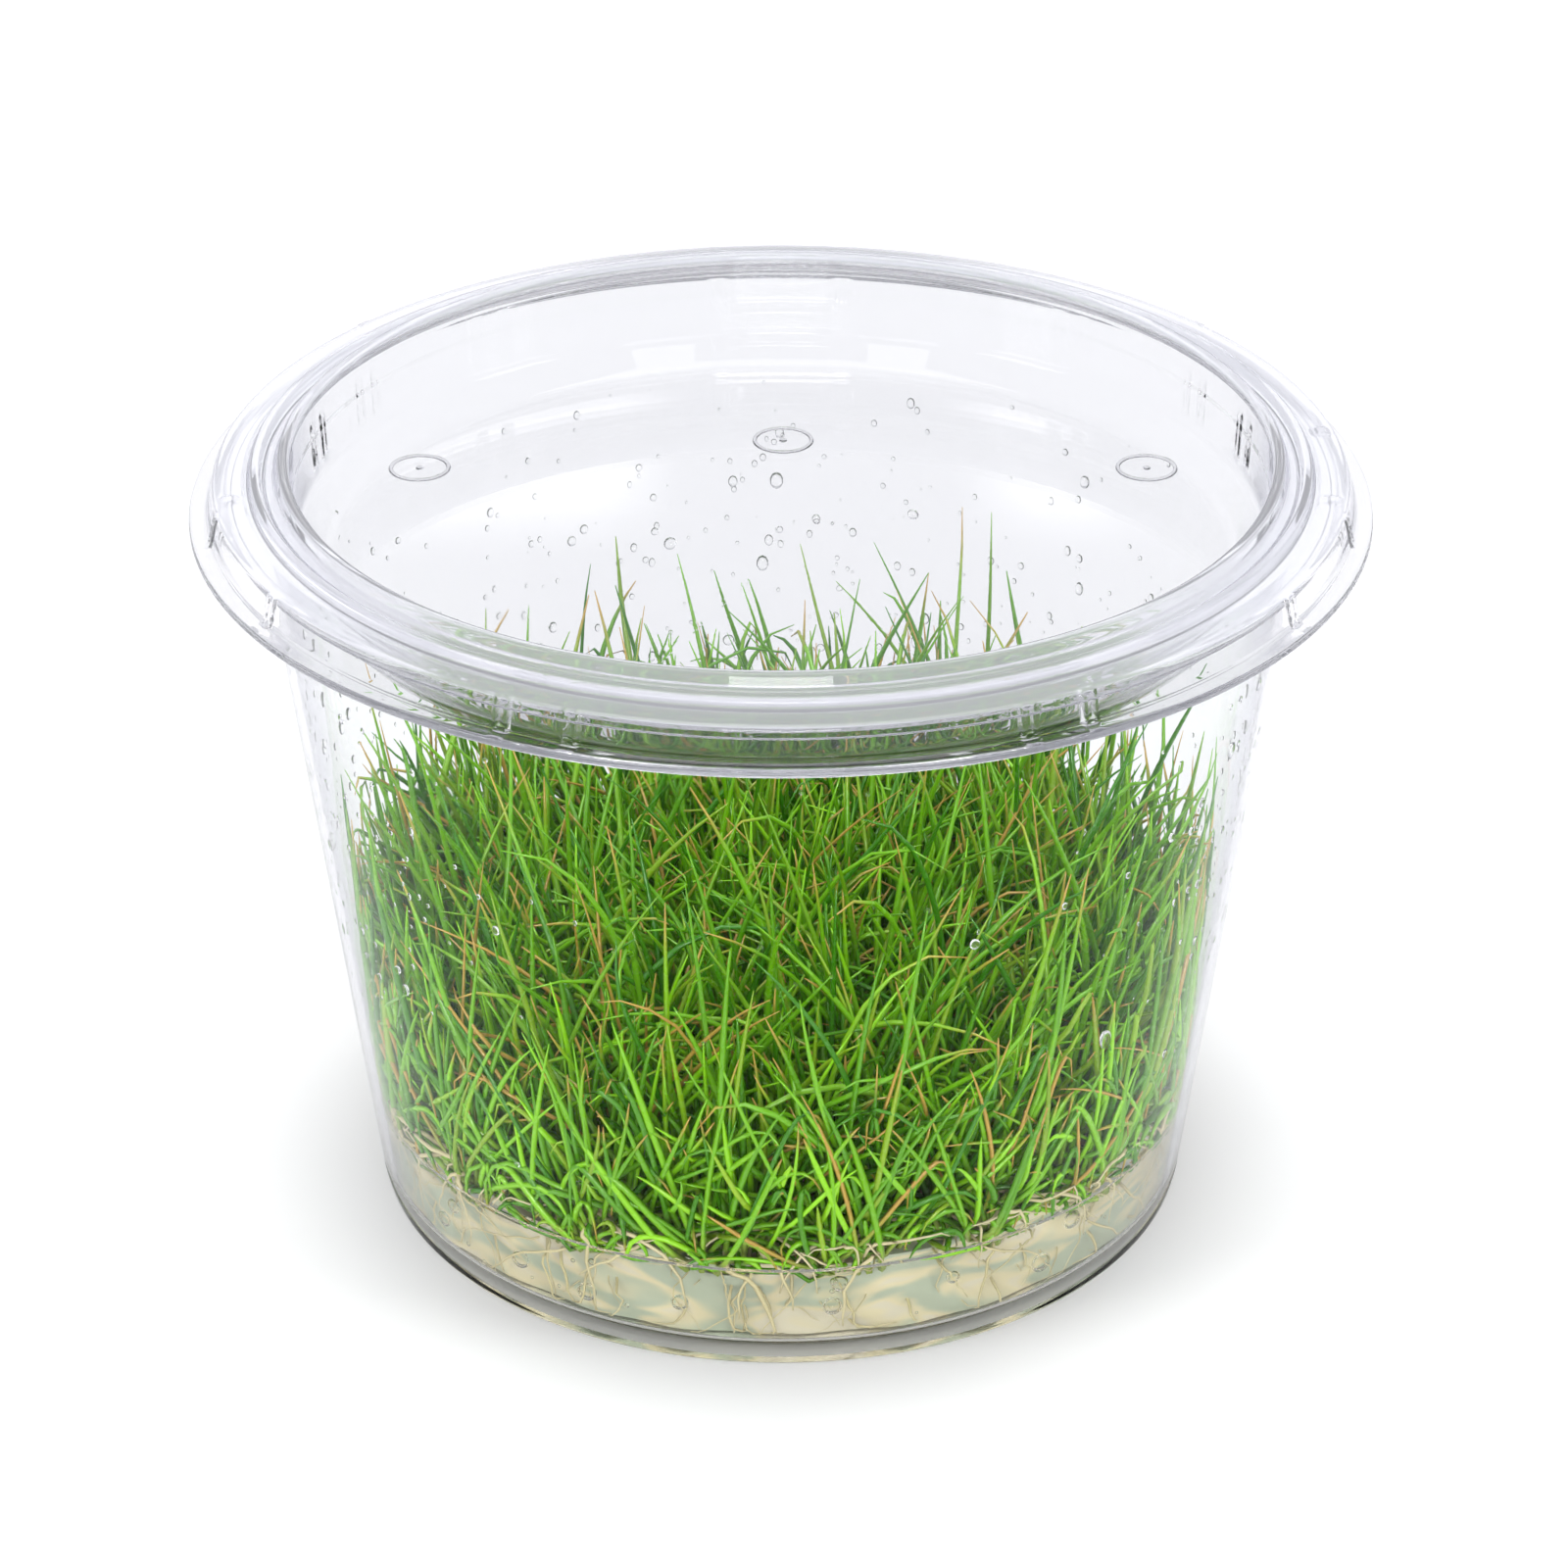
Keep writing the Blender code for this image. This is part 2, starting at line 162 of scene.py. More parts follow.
class LidSettings(bpy.types.PropertyGroup):
    """Sizes and tint of the lid."""

    skirt_radius: FloatProperty(
        name="Skirt radius", description="Outside radius above the hem", default=53.1 * MM, unit="LENGTH"
    )
    shoulder_radius: FloatProperty(
        name="Shoulder radius", description="Outside radius at the ledge", default=52.5 * MM, unit="LENGTH"
    )
    plug_radius: FloatProperty(
        name="Plug radius", description="Inside radius of the plug wall", default=45.4 * MM, unit="LENGTH"
    )
    wall: FloatProperty(
        name="Wall", description="Thickness of the plastic", default=0.8 * MM, precision=5, unit="LENGTH"
    )
    ledge: FloatProperty(
        name="Ledge", description="Height of the flat ledge", default=74.3 * MM, unit="LENGTH"
    )
    outer_ridge_radius: FloatProperty(
        name="Outer ridge", description="Radius of the outer ridge", default=48.8 * MM, unit="LENGTH"
    )
    outer_ridge_top: FloatProperty(
        name="Outer ridge top", description="Height of the outer ridge", default=75.2 * MM, unit="LENGTH"
    )
    inner_ridge_radius: FloatProperty(
        name="Inner ridge", description="Radius of the inner ridge", default=46.2 * MM, unit="LENGTH"
    )
    panel: FloatProperty(
        name="Panel", description="Height of the sunk panel", default=65.1 * MM, unit="LENGTH"
    )
    tint: FloatVectorProperty(
        name="Tint", description="Colour of the plastic", subtype="COLOR", default=(0.83, 0.828, 0.84)
    )
    # Painted edge shade: the darker colour the lid's plastic turns to where it is seen edge on
    edge: FloatVectorProperty(
        name="Edge", description="Colour seen edge on", subtype="COLOR", default=(0.48, 0.48, 0.56)
    )
    rim_tint: FloatVectorProperty(
        name="Rim tint", description="Colour of its milky rim", subtype="COLOR", default=(0.8, 0.805, 0.85)
    )


class GelSettings(bpy.types.PropertyGroup):
    """Sizes and colours of the nutrient gel."""

    top: FloatProperty(
        name="Top", description="Height of the gel's surface", default=10.3 * MM, unit="LENGTH"
    )
    meniscus: FloatProperty(
        name="Meniscus", description="How far the gel climbs the wall", default=0.9 * MM, unit="LENGTH"
    )
    bubbles: IntProperty(
        name="Bubbles", description="Air bubbles near the wall", default=46, min=0
    )
    cream: FloatVectorProperty(
        name="Cream", description="Colour of the cloudy parts", subtype="COLOR", default=(1.0, 0.9, 0.62)
    )
    water: FloatVectorProperty(
        name="Water", description="Colour of the clear parts", subtype="COLOR", default=(0.62, 0.69, 0.55)
    )


class LeafSettings(bpy.types.PropertyGroup):
    """Number, size and colours of the leaves and roots."""

    leaves: IntProperty(name="Leaves", description="Leaves of each tuft", default=158, min=1)
    spent: IntProperty(name="Spent leaves", description="Thin straw leaves among them", default=6, min=0)
    tall: IntProperty(name="Tall leaves", description="Long older leaves among them", default=15, min=0)
    roots: IntProperty(name="Roots", description="Roots of each tuft", default=25, min=0)
    radius: FloatProperty(
        name="Leaf radius", description="Half a leaf's width", default=0.33 * MM, precision=5, unit="LENGTH"
    )
    tallest: FloatProperty(
        name="Tallest", description="Length of the longest leaves", default=44.0 * MM, unit="LENGTH"
    )
    young: FloatVectorProperty(
        name="Young green", description="Fresh leaves", subtype="COLOR", default=(0.36, 0.86, 0.01)
    )
    deep: FloatVectorProperty(
        name="Deep green", description="Older leaves", subtype="COLOR", default=(0.045, 0.25, 0.002)
    )
    straw: FloatVectorProperty(
        name="Straw", description="Spent leaves and tips", subtype="COLOR", default=(0.6, 0.38, 0.07)
    )
    root: FloatVectorProperty(
        name="Root", description="Colour of the roots", subtype="COLOR", default=(0.78, 0.68, 0.4)
    )


class DewSettings(bpy.types.PropertyGroup):
    """Numbers of water drops."""

    wall_drops: IntProperty(
        name="Wall drops", description="Drops on the inside of the wall", default=640, min=0
    )
    leaf_drops: IntProperty(
        name="Leaf drops", description="Specks of water on the leaves of each tuft", default=26, min=0
    )


class StudioSettings(bpy.types.PropertyGroup):
    """Camera and lights."""

    distance: FloatProperty(
        name="Distance", description="How far the camera stands in front", default=0.404866, unit="LENGTH"
    )
    height: FloatProperty(
        name="Height", description="Height of the camera", default=0.262089, unit="LENGTH"
    )
    tilt: FloatProperty(
        name="Tilt", description="How far it looks down", default=math.radians(28.757), unit="ROTATION"
    )
    lens: FloatProperty(name="Lens", description="Focal length", default=110.0, unit="CAMERA")
    shift: FloatProperty(name="Shift", description="Sideways shift of the frame", default=0.0019)
    floor: FloatVectorProperty(
        name="Floor", description="Colour of the floor", subtype="COLOR", default=(0.9, 0.9, 0.9)
    )
    walls: FloatVectorProperty(
        name="Walls", description="Colour of the walls", subtype="COLOR", default=(0.76, 0.765, 0.805)
    )
    air: FloatVectorProperty(
        name="Ceiling", description="Colour of the ceiling", subtype="COLOR", default=(0.3, 0.305, 0.34)
    )
    window: FloatVectorProperty(
        name="Windows", description="Their colour", subtype="COLOR", default=(2.6, 2.6, 2.6), max=10.0
    )


def make_mesh(name, vertices, faces, materials, smooth=True):
    """Makes a mesh object from vertices and faces and gives it materials."""
    mesh = bpy.data.meshes.new(name)
    mesh.from_pydata(vertices, [], faces)
    mesh.update()
    obj = bpy.data.objects.new(name, mesh)
    bpy.context.scene.collection.objects.link(obj)
    for material in materials:
        mesh.materials.append(material)
    if smooth:
        mesh.shade_smooth()
    return obj


def round_corners(corners, turn=18.0):
    """Points along an outline whose corners, given as radius, height and fillet, are rounded with arcs."""
    points = [np.array(corner[:2], float) for corner in corners]
    outline = [tuple(points[0])]
    for index in range(1, len(corners) - 1):
        here, fillet = points[index], corners[index][2]
        back, ahead = points[index - 1] - here, points[index + 1] - here
        room = 0.48 * min(np.linalg.norm(back), np.linalg.norm(ahead))
        back, ahead = back / np.linalg.norm(back), ahead / np.linalg.norm(ahead)
        opening = math.acos(max(-1.0, min(1.0, float(back @ ahead))))
        if fillet <= 0 or opening > math.radians(176):
            outline.append(tuple(here))
            continue
        reach = min(fillet / math.tan(opening / 2), room)
        steps = max(2, round(math.degrees(math.pi - opening) / turn))
        for step in range(steps + 1):
            share = step / steps
            outline.append(
                tuple(
                    (1 - share) ** 2 * (here + back * reach)
                    + 2 * share * (1 - share) * here
                    + share**2 * (here + ahead * reach)
                )
            )
    outline.append(tuple(points[-1]))
    return outline


def cut_long_steps(outline, longest, from_radius=0.0):
    """Adds points to an outline so that no step from a radius outwards is longer than a limit."""
    finer = [outline[0]]
    for start, end in zip(outline, outline[1:]):
        length = math.dist(start, end)
        cuts = max(1, math.ceil(length / longest)) if min(start[0], end[0]) >= from_radius else 1
        for cut in range(1, cuts + 1):
            share = cut / cuts
            finer.append(tuple(a + (b - a) * share for a, b in zip(start, end)))
    return finer


def hold_flats(outline, near=0.35 * MM):
    """Adds a point close to each end of a long step, so that its shading stays flat between them."""
    held = [outline[0]]
    for start, end in zip(outline, outline[1:]):
        length = math.dist(start, end)
        if length > 5 * near:
            for share in (near / length, 1 - near / length):
                held.append(tuple(a + (b - a) * share for a, b in zip(start, end)))
        held.append(tuple(end))
    return held


def even_angles(count):
    """Evenly spaced angles in degrees, once round."""
    return np.arange(count) * 360.0 / count


def turned(outline, angles, shape=None):
    """Vertices and faces of a solid of revolution. The outline starts and ends on the axis."""
    count = len(angles)
    turns = np.radians(np.asarray(angles, float))
    rings = np.asarray(outline[1:-1], float)
    radius = np.repeat(rings[:, :1], count, axis=1)
    height = np.repeat(rings[:, 1:], count, axis=1)
    if shape is not None:
        radius, height = shape(radius, height, np.asarray(angles, float)[None, :])
    body = np.stack([radius * np.sin(turns), -radius * np.cos(turns), height], axis=-1)
    vertices = np.concatenate(
        [[[0, 0, outline[0][1]]], body.reshape(-1, 3), [[0, 0, outline[-1][1]]]]
    )
    last = len(vertices) - 1
    faces = []
    top = 1 + (len(rings) - 1) * count
    for side in range(count):
        beside = (side + 1) % count
        faces.append((0, 1 + side, 1 + beside))
        faces.append((last, top + beside, top + side))
        for ring in range(len(rings) - 1):
            low, high = 1 + ring * count, 1 + (ring + 1) * count
            faces.append((low + side, high + side, high + beside, low + beside))
    area = sum(start[0] * end[1] - end[0] * start[1] for start, end in zip(outline, outline[1:]))
    return vertices, [face[::-1] for face in faces] if area > 0 else faces


def joined(parts):
    """One list of vertices and one of faces from several."""
    vertices, faces, start = [], [], 0
    for points, polygons in parts:
        vertices.append(np.asarray(points, float))
        faces.extend(tuple(start + corner for corner in face) for face in polygons)
        start += len(points)
    return np.concatenate(vertices), faces


def smooth_step(value, low, high):
    """0 below low, 1 above high and a smooth rise between."""
    share = np.clip((value - low) / (high - low), 0.0, 1.0)
    return share * share * (3 - 2 * share)


def pad(across, up, half_width, half_height, edge):
    """A raised pad with soft edges: 1 on top of it and 0 away from it."""
    sides = 1 - smooth_step(np.abs(across), half_width - edge, half_width)
    ends = 1 - smooth_step(np.abs(up), half_height - edge, half_height)
    return sides * ends


def angle_from(angles, centre):
    """Angles measured from a centre, between -180 and 180."""
    return (angles - centre + 180.0) % 360.0 - 180.0


def fine_angles(base, centres, half_width, steps):
    """Evenly spaced angles with more of them round each centre."""
    angles = set(np.round(even_angles(base) - 180.0, 4))
    for centre in centres:
        extra = angle_from(centre + np.linspace(-half_width, half_width, steps), 0.0)
        angles.update(np.round(extra, 4))
    ordered = sorted(angles)
    kept = [ordered[0]]
    for angle in ordered[1:]:
        if angle - kept[-1] > 0.02:
            kept.append(angle)
    return kept


def fill(tree, made, values):
    """Fills inputs of a shader node; each value is a number, red, green and blue, or an output."""
    for name, value in values.items():
        socket = made.inputs[name]
        if isinstance(value, bpy.types.NodeSocket):
            tree.links.new(value, socket)
        elif socket.type == "RGBA":
            socket.default_value = (*value, 1.0)
        else:
            socket.default_value = value


def add_node(tree, kind, values):
    """Adds a shader node and fills its inputs."""
    made = tree.nodes.new(kind)
    fill(tree, made, values)
    return made


def math_node(tree, operation, first, second=None):
    """The result of a Math node; each operand is a number or an output."""
    made = add_node(tree, "ShaderNodeMath", {0: first} if second is None else {0: first, 1: second})
    made.operation = operation
    return made.outputs[0]


def product(tree, first, second):
    """The product of two numbers or outputs."""
    return math_node(tree, "MULTIPLY", first, second)


def ramp(tree, value, low, high, given=(0.0, 1.0), kind="SMOOTHSTEP"):
    """Goes from the first given number to the second as a value goes from low to high."""
    limits = {"From Min": low, "From Max": high, "To Min": given[0], "To Max": given[1]}
    made = add_node(tree, "ShaderNodeMapRange", {"Value": value, **limits})
    made.interpolation_type = kind
    return made.outputs["Result"]


def mix_colours(tree, share, first, second):
    """Mixes two colours; each is a colour or an output, and the share is an output."""
    made = add_node(tree, "ShaderNodeMix", {"Factor": share})
    made.data_type = "RGBA"
    for name, value in (("A", first), ("B", second)):
        socket = next(s for s in made.inputs if s.name == name and s.type == "RGBA")
        if isinstance(value, bpy.types.NodeSocket):
            tree.links.new(value, socket)
        else:
            socket.default_value = (*value, 1.0)
    return next(s for s in made.outputs if s.type == "RGBA")


def unevenness_group():
    """A shader group of soft noise: a mask from 0 to 1, and a normal that its slopes have bent."""
    name = "soft_unevenness"
    if name in bpy.data.node_groups:
        return bpy.data.node_groups[name]
    group = bpy.data.node_groups.new(name, "ShaderNodeTree")
    for label in ("Scale", "Depth"):
        group.interface.new_socket(label, in_out="INPUT", socket_type="NodeSocketFloat")
    group.interface.new_socket("Mask", in_out="OUTPUT", socket_type="NodeSocketFloat")
    group.interface.new_socket("Normal", in_out="OUTPUT", socket_type="NodeSocketVector")
    given = group.nodes.new("NodeGroupInput").outputs
    place = group.nodes.new("ShaderNodeTexCoord").outputs["Object"]
    noise = add_node(group, "ShaderNodeTexNoise", {"Vector": place, "Scale": given["Scale"], "Detail": 0.0})
    mask = noise.outputs["Fac"]
    slope = {"Height": mask, "Strength": given["Depth"], "Distance": 0.1 * MM}
    bump = add_node(group, "ShaderNodeBump", slope)
    add_node(group, "NodeGroupOutput", {"Mask": mask, "Normal": bump.outputs["Normal"]})
    return group


def unevenness(tree, scale, depth):
    """Places the unevenness group in a material and gives its mask and its normal."""
    made = tree.nodes.new("ShaderNodeGroup")
    made.node_tree = unevenness_group()
    fill(tree, made, {"Scale": scale, "Depth": depth})
    return made.outputs["Mask"], made.outputs["Normal"]


def new_material(name):
    """A material with its node tree and its Principled shader."""
    material = bpy.data.materials.new(name)
    material.use_nodes = True
    return material, material.node_tree, material.node_tree.nodes["Principled BSDF"]


def let_light_through(tree, shader, tint, rays=("Is Diffuse Ray", "Is Shadow Ray")):
    """Lets some kinds of ray pass a shader straight: light from lamps, and between dull surfaces."""
    path = tree.nodes.new("ShaderNodeLightPath").outputs
    clear = add_node(tree, "ShaderNodeBsdfTransparent", {"Color": tint}).outputs["BSDF"]
    surface = shader.outputs["BSDF"]
    for kind in rays:
        mix = add_node(tree, "ShaderNodeMixShader", {0: path[kind], 1: surface, 2: clear})
        surface = mix.outputs["Shader"]
    tree.links.new(surface, tree.nodes["Material Output"].inputs["Surface"])


def clear_plastic(name, tint, edge, waves, shade, ior, glare, clearness=1.0):
    """Clear moulded plastic with painted edge shade: its colour turns darker where it is seen edge on; a
    clearness below 1 makes it milky.
    """
    material, tree, shader = new_material(name)
    # Painted edge shade: where the surface is seen edge on, the colour is mixed from the tint towards the
    # darker edge colour
    painted_edge_shade = add_node(tree, "ShaderNodeLayerWeight", {"Blend": 0.5}).outputs["Facing"]
    mask, normal = unevenness(tree, 60.0, waves)
    fill(
        tree,
        shader,
        {
            "Base Color": mix_colours(tree, ramp(tree, painted_edge_shade, 0.6, 0.96), tint, edge),
            "Roughness": ramp(tree, mask, 0.66, 0.9, (0.0, 0.06), "LINEAR"),
            "Normal": normal,
            "Transmission Weight": clearness,
            "IOR": ior,
            "Specular Tint": (glare, glare, glare),
        },
    )
    let_light_through(tree, shader, shade)
    return material


def clear_gel_material():
    """The clear outer layer of the gel."""
    material, tree, shader = new_material("nutrient_gel")
    _, normal = unevenness(tree, 210.0, 0.9)
    fill(
        tree,
        shader,
        {
            "Base Color": (0.985, 0.985, 0.96),
            "Roughness": 0.0,
            "Normal": normal,
            "Transmission Weight": 1.0,
            "IOR": GEL_IOR,
            "Specular Tint": (0.4, 0.4, 0.4),
        },
    )
    let_light_through(tree, shader, (0.97, 0.97, 0.93))
    return material


def cloudy_gel_material(settings):
    """The cloudy middle of the gel: flat layers of bluish water and cream."""
    material, tree, shader = new_material("cloudy_gel")
    place = tree.nodes.new("ShaderNodeTexCoord").outputs["Object"]
    flat = add_node(tree, "ShaderNodeMapping", {"Vector": place, "Scale": (1.0, 1.0, 2.6)}).outputs["Vector"]
    noise = {"Vector": flat, "Scale": 105.0, "Detail": 1.0, "Distortion": 1.1}
    layers = add_node(tree, "ShaderNodeTexNoise", noise).outputs["Fac"]
    colour = mix_colours(tree, ramp(tree, layers, 0.38, 0.6), settings.water, settings.cream)
    colour = mix_colours(tree, ramp(tree, layers, 0.58, 0.66), colour, (0.97, 0.9, 0.72))
    _, normal = unevenness(tree, 320.0, 1.0)
    fill(
        tree,
        shader,
        {
            "Base Color": colour,
            "Roughness": 0.35,
            "Normal": normal,
            "Transmission Weight": 0.12,
            "IOR": GEL_IOR,
        },
    )
    let_light_through(tree, shader, (0.7, 0.67, 0.55), rays=("Is Shadow Ray",))
    return material


def water_material(name):
    """Clean water of the drops and dew."""
    material, tree, shader = new_material(name)
    _, normal = unevenness(tree, 300.0, 0.05)
    fill(
        tree,
        shader,
        {
            "Base Color": (1.0, 1.0, 1.0),
            "Roughness": 0.0,
            "Normal": normal,
            "Transmission Weight": 1.0,
            "IOR": WATER_IOR,
        },
    )
    let_light_through(tree, shader, (0.97, 0.97, 0.97))
    return material


def strand_numbers(tree, strands):
    """A strand's number, three random numbers of its own and the place along it, read from its strip."""
    uv = tree.nodes.new("ShaderNodeUVMap")
    uv.uv_map = LEAF_MAP
    split = add_node(tree, "ShaderNodeSeparateXYZ", {0: uv.outputs["UV"]}).outputs
    number = math_node(tree, "FLOOR", product(tree, split["X"], float(strands)))
    draw = tree.nodes.new("ShaderNodeTexWhiteNoise")
    draw.noise_dimensions = "1D"
    tree.links.new(number, draw.inputs["W"])
    parts = add_node(tree, "ShaderNodeSeparateColor", {0: draw.outputs["Color"]}).outputs
    return number, draw.outputs["Value"], parts["Green"], parts["Blue"], split["Y"]


def leaf_material(settings, strands):
    """Leaf skin: greens that differ from leaf to leaf, pale feet, and some straw tips and spent leaves."""
    material, tree, shader = new_material("spikerush_leaf")
    number, first, second, third, along = strand_numbers(tree, strands)
    older = math_node(tree, "LESS_THAN", number, float(settings.spent + settings.tall))
    freshness = product(tree, first, math_node(tree, "SUBTRACT", 1.0, product(tree, older, 0.4)))
    green = mix_colours(tree, freshness, settings.deep, settings.young)
    yellowed = product(tree, ramp(tree, second, 0.72, 1.0), 0.6)
    green = mix_colours(tree, yellowed, green, (0.42, 0.56, 0.03))
    foot = math_node(tree, "SUBTRACT", 1.0, ramp(tree, along, 0.02, 0.24))
    green = mix_colours(tree, product(tree, foot, 0.75), green, (0.5, 0.6, 0.12))
    tip = product(tree, ramp(tree, along, 0.8, 0.97), math_node(tree, "GREATER_THAN", third, 0.7))
    spent = math_node(tree, "LESS_THAN", number, float(settings.spent))
    spent = product(tree, spent, ramp(tree, along, 0.05, 0.4))
    straw = math_node(tree, "MAXIMUM", tip, spent)
    mask, normal = unevenness(tree, 900.0, 0.3)
    fill(
        tree,
        shader,
        {
            "Base Color": mix_colours(tree, straw, green, settings.straw),
            "Roughness": ramp(tree, mask, 0.0, 1.0, (0.15, 0.36), "LINEAR"),
            "Normal": normal,
            "Specular IOR Level": 0.6,
        },
    )
    return material


def root_material(settings, strands):
    """Pale root skin, yellower on some roots and paler towards the tip."""
    material, tree, shader = new_material("spikerush_root")
    _, first, _, _, along = strand_numbers(tree, strands)
    colour = mix_colours(tree, product(tree, first, 0.6), settings.root, (0.72, 0.66, 0.34))
    paler = product(tree, ramp(tree, along, 0.3, 1.0), 0.5)
    colour = mix_colours(tree, paler, colour, (0.86, 0.78, 0.54))
    _, normal = unevenness(tree, 1200.0, 0.2)
    fill(tree, shader, {"Base Color": colour, "Roughness": 0.4, "Normal": normal})
    return material


def cup_outer(cup, height):
    """Radius of the outside of the cup's wall at a height."""
    return cup.foot_radius + cup.wall_slope * height


def cup_inner(cup, height):
    """Radius of the inside of the cup's wall at a height."""
    return cup_outer(cup, height) - cup.wall


def cup_outline(cup):
    """Half section of the cup with rounded corners, from under its floor over the rim to the floor's top."""
    rim_radius, _, rim_top = CUP_BOX[1]
    foot_inner = cup.foot_radius - 1.9 * MM
    underside = 1.0 * MM
    wall_high = rim_top - 0.45 * MM
    corners = [
        (0, underside, 0),
        (foot_inner - 0.8 * MM, underside, 0.5 * MM),
        (foot_inner, 0.02 * MM, 0.3 * MM),
        (cup.foot_radius - 0.1 * MM, 0, 0.5 * MM),
        (cup.foot_radius + 0.15 * MM, 1.3 * MM, 0.25 * MM),
        (cup_outer(cup, 1.6 * MM) - 0.1 * MM, 1.75 * MM, 0.2 * MM),
        (cup_outer(cup, 2.6 * MM), 2.6 * MM, 0.4 * MM),
        (cup_outer(cup, wall_high), wall_high, 0.5 * MM),
        (rim_radius - 0.55 * MM, wall_high, 0.15 * MM),
        (rim_radius - 0.5 * MM, cup.rim_underside, 0.1 * MM),
        (rim_radius, cup.rim_underside, 0.15 * MM),
        (rim_radius, rim_top - 0.1 * MM, 0.3 * MM),
        (cup_outer(cup, rim_top) + 0.9 * MM, rim_top, 0.2 * MM),
        (cup_outer(cup, rim_top), rim_top, 0.3 * MM),
        (cup_inner(cup, rim_top), rim_top - 0.2 * MM, 0.3 * MM),
        (cup_inner(cup, cup.floor_top), cup.floor_top, 1.6 * MM),
        (0, cup.floor_top, 0),
    ]
    return hold_flats(round_corners(corners))


def lid_outline(lid):
    """Half section of the lid with rounded corners, and the first row of its finely cut upper side."""
    hem_radius, _, top = LID_BOX[1]
    skirt_inside = CUP_BOX[1][0] + 0.25 * MM
    channel = CUP_BOX[1][2] + 0.25 * MM
    plug_outside = lid.plug_radius + lid.wall
    inner, outer = lid.inner_ridge_radius, lid.outer_ridge_radius
    under = [
        (0, lid.panel - lid.wall, 0),
        (plug_outside - 3.2 * MM, lid.panel - lid.wall, 1.6 * MM),
        (plug_outside - 0.1 * MM, lid.panel + 2.6 * MM, 1.2 * MM),
        (plug_outside + 0.02 * MM, lid.panel + 5.6 * MM, 0.4 * MM),
        (plug_outside + 0.2 * MM, lid.panel + 6.2 * MM, 0.4 * MM),
        (plug_outside + 0.07 * MM, lid.panel + 6.8 * MM, 0.4 * MM),
        (plug_outside + 0.15 * MM, top - 0.9 * MM, 0.4 * MM),
        (inner + 0.7 * MM, lid.ledge - 0.3 * MM, 0.3 * MM),
        (outer - 1.0 * MM, channel, 0.3 * MM),
        (outer - 0.5 * MM, lid.outer_ridge_top - 0.8 * MM, 0.3 * MM),
        (outer + 0.4 * MM, lid.outer_ridge_top - 0.9 * MM, 0.3 * MM),
        (outer + 1.2 * MM, channel, 0.3 * MM),
        (skirt_inside - 0.2 * MM, channel, 0.4 * MM),
        (skirt_inside + 0.35 * MM, HEM_BOTTOM + 0.3 * MM, 0.3 * MM),
        (skirt_inside + 0.9 * MM, HEM_BOTTOM, 0.2 * MM),
        (hem_radius - 1.2 * MM, HEM_BOTTOM, 0),
    ]
    over = [
        under[-1],
        (hem_radius, HEM_BOTTOM, 0.3 * MM),
        (hem_radius - 0.1 * MM, HEM_BOTTOM + 0.75 * MM, 0.3 * MM),
        (lid.skirt_radius + 0.2 * MM, HEM_BOTTOM + 0.9 * MM, 0.4 * MM),
        (lid.shoulder_radius + 0.1 * MM, lid.ledge - 0.1 * MM, 0.6 * MM),
        (lid.shoulder_radius - 1.0 * MM, lid.ledge, 0.4 * MM),
        (outer + 0.7 * MM, lid.ledge, 0.3 * MM),
        (outer + 0.3 * MM, lid.outer_ridge_top - 0.05 * MM, 0.3 * MM),
        (outer - 0.4 * MM, lid.outer_ridge_top, 0.3 * MM),
        (inner + 1.5 * MM, lid.ledge + 0.2 * MM, 0.4 * MM),
        (inner + 0.8 * MM, lid.ledge + 0.4 * MM, 0.4 * MM),
        (inner + 0.35 * MM, top, 0.4 * MM),
        (lid.plug_radius + 0.1 * MM, top, 0.5 * MM),
        (lid.plug_radius - 0.2 * MM, lid.panel + 2.4 * MM, 1.0 * MM),
        (lid.plug_radius - 3.0 * MM, lid.panel, 1.4 * MM),
        (0, lid.panel, 0),
    ]
    under, over = (hold_flats(round_corners(side, 24.0)) for side in (under, over))
    return under + cut_long_steps(over, 0.5 * MM, 41.0 * MM)[1:], len(under) - 1


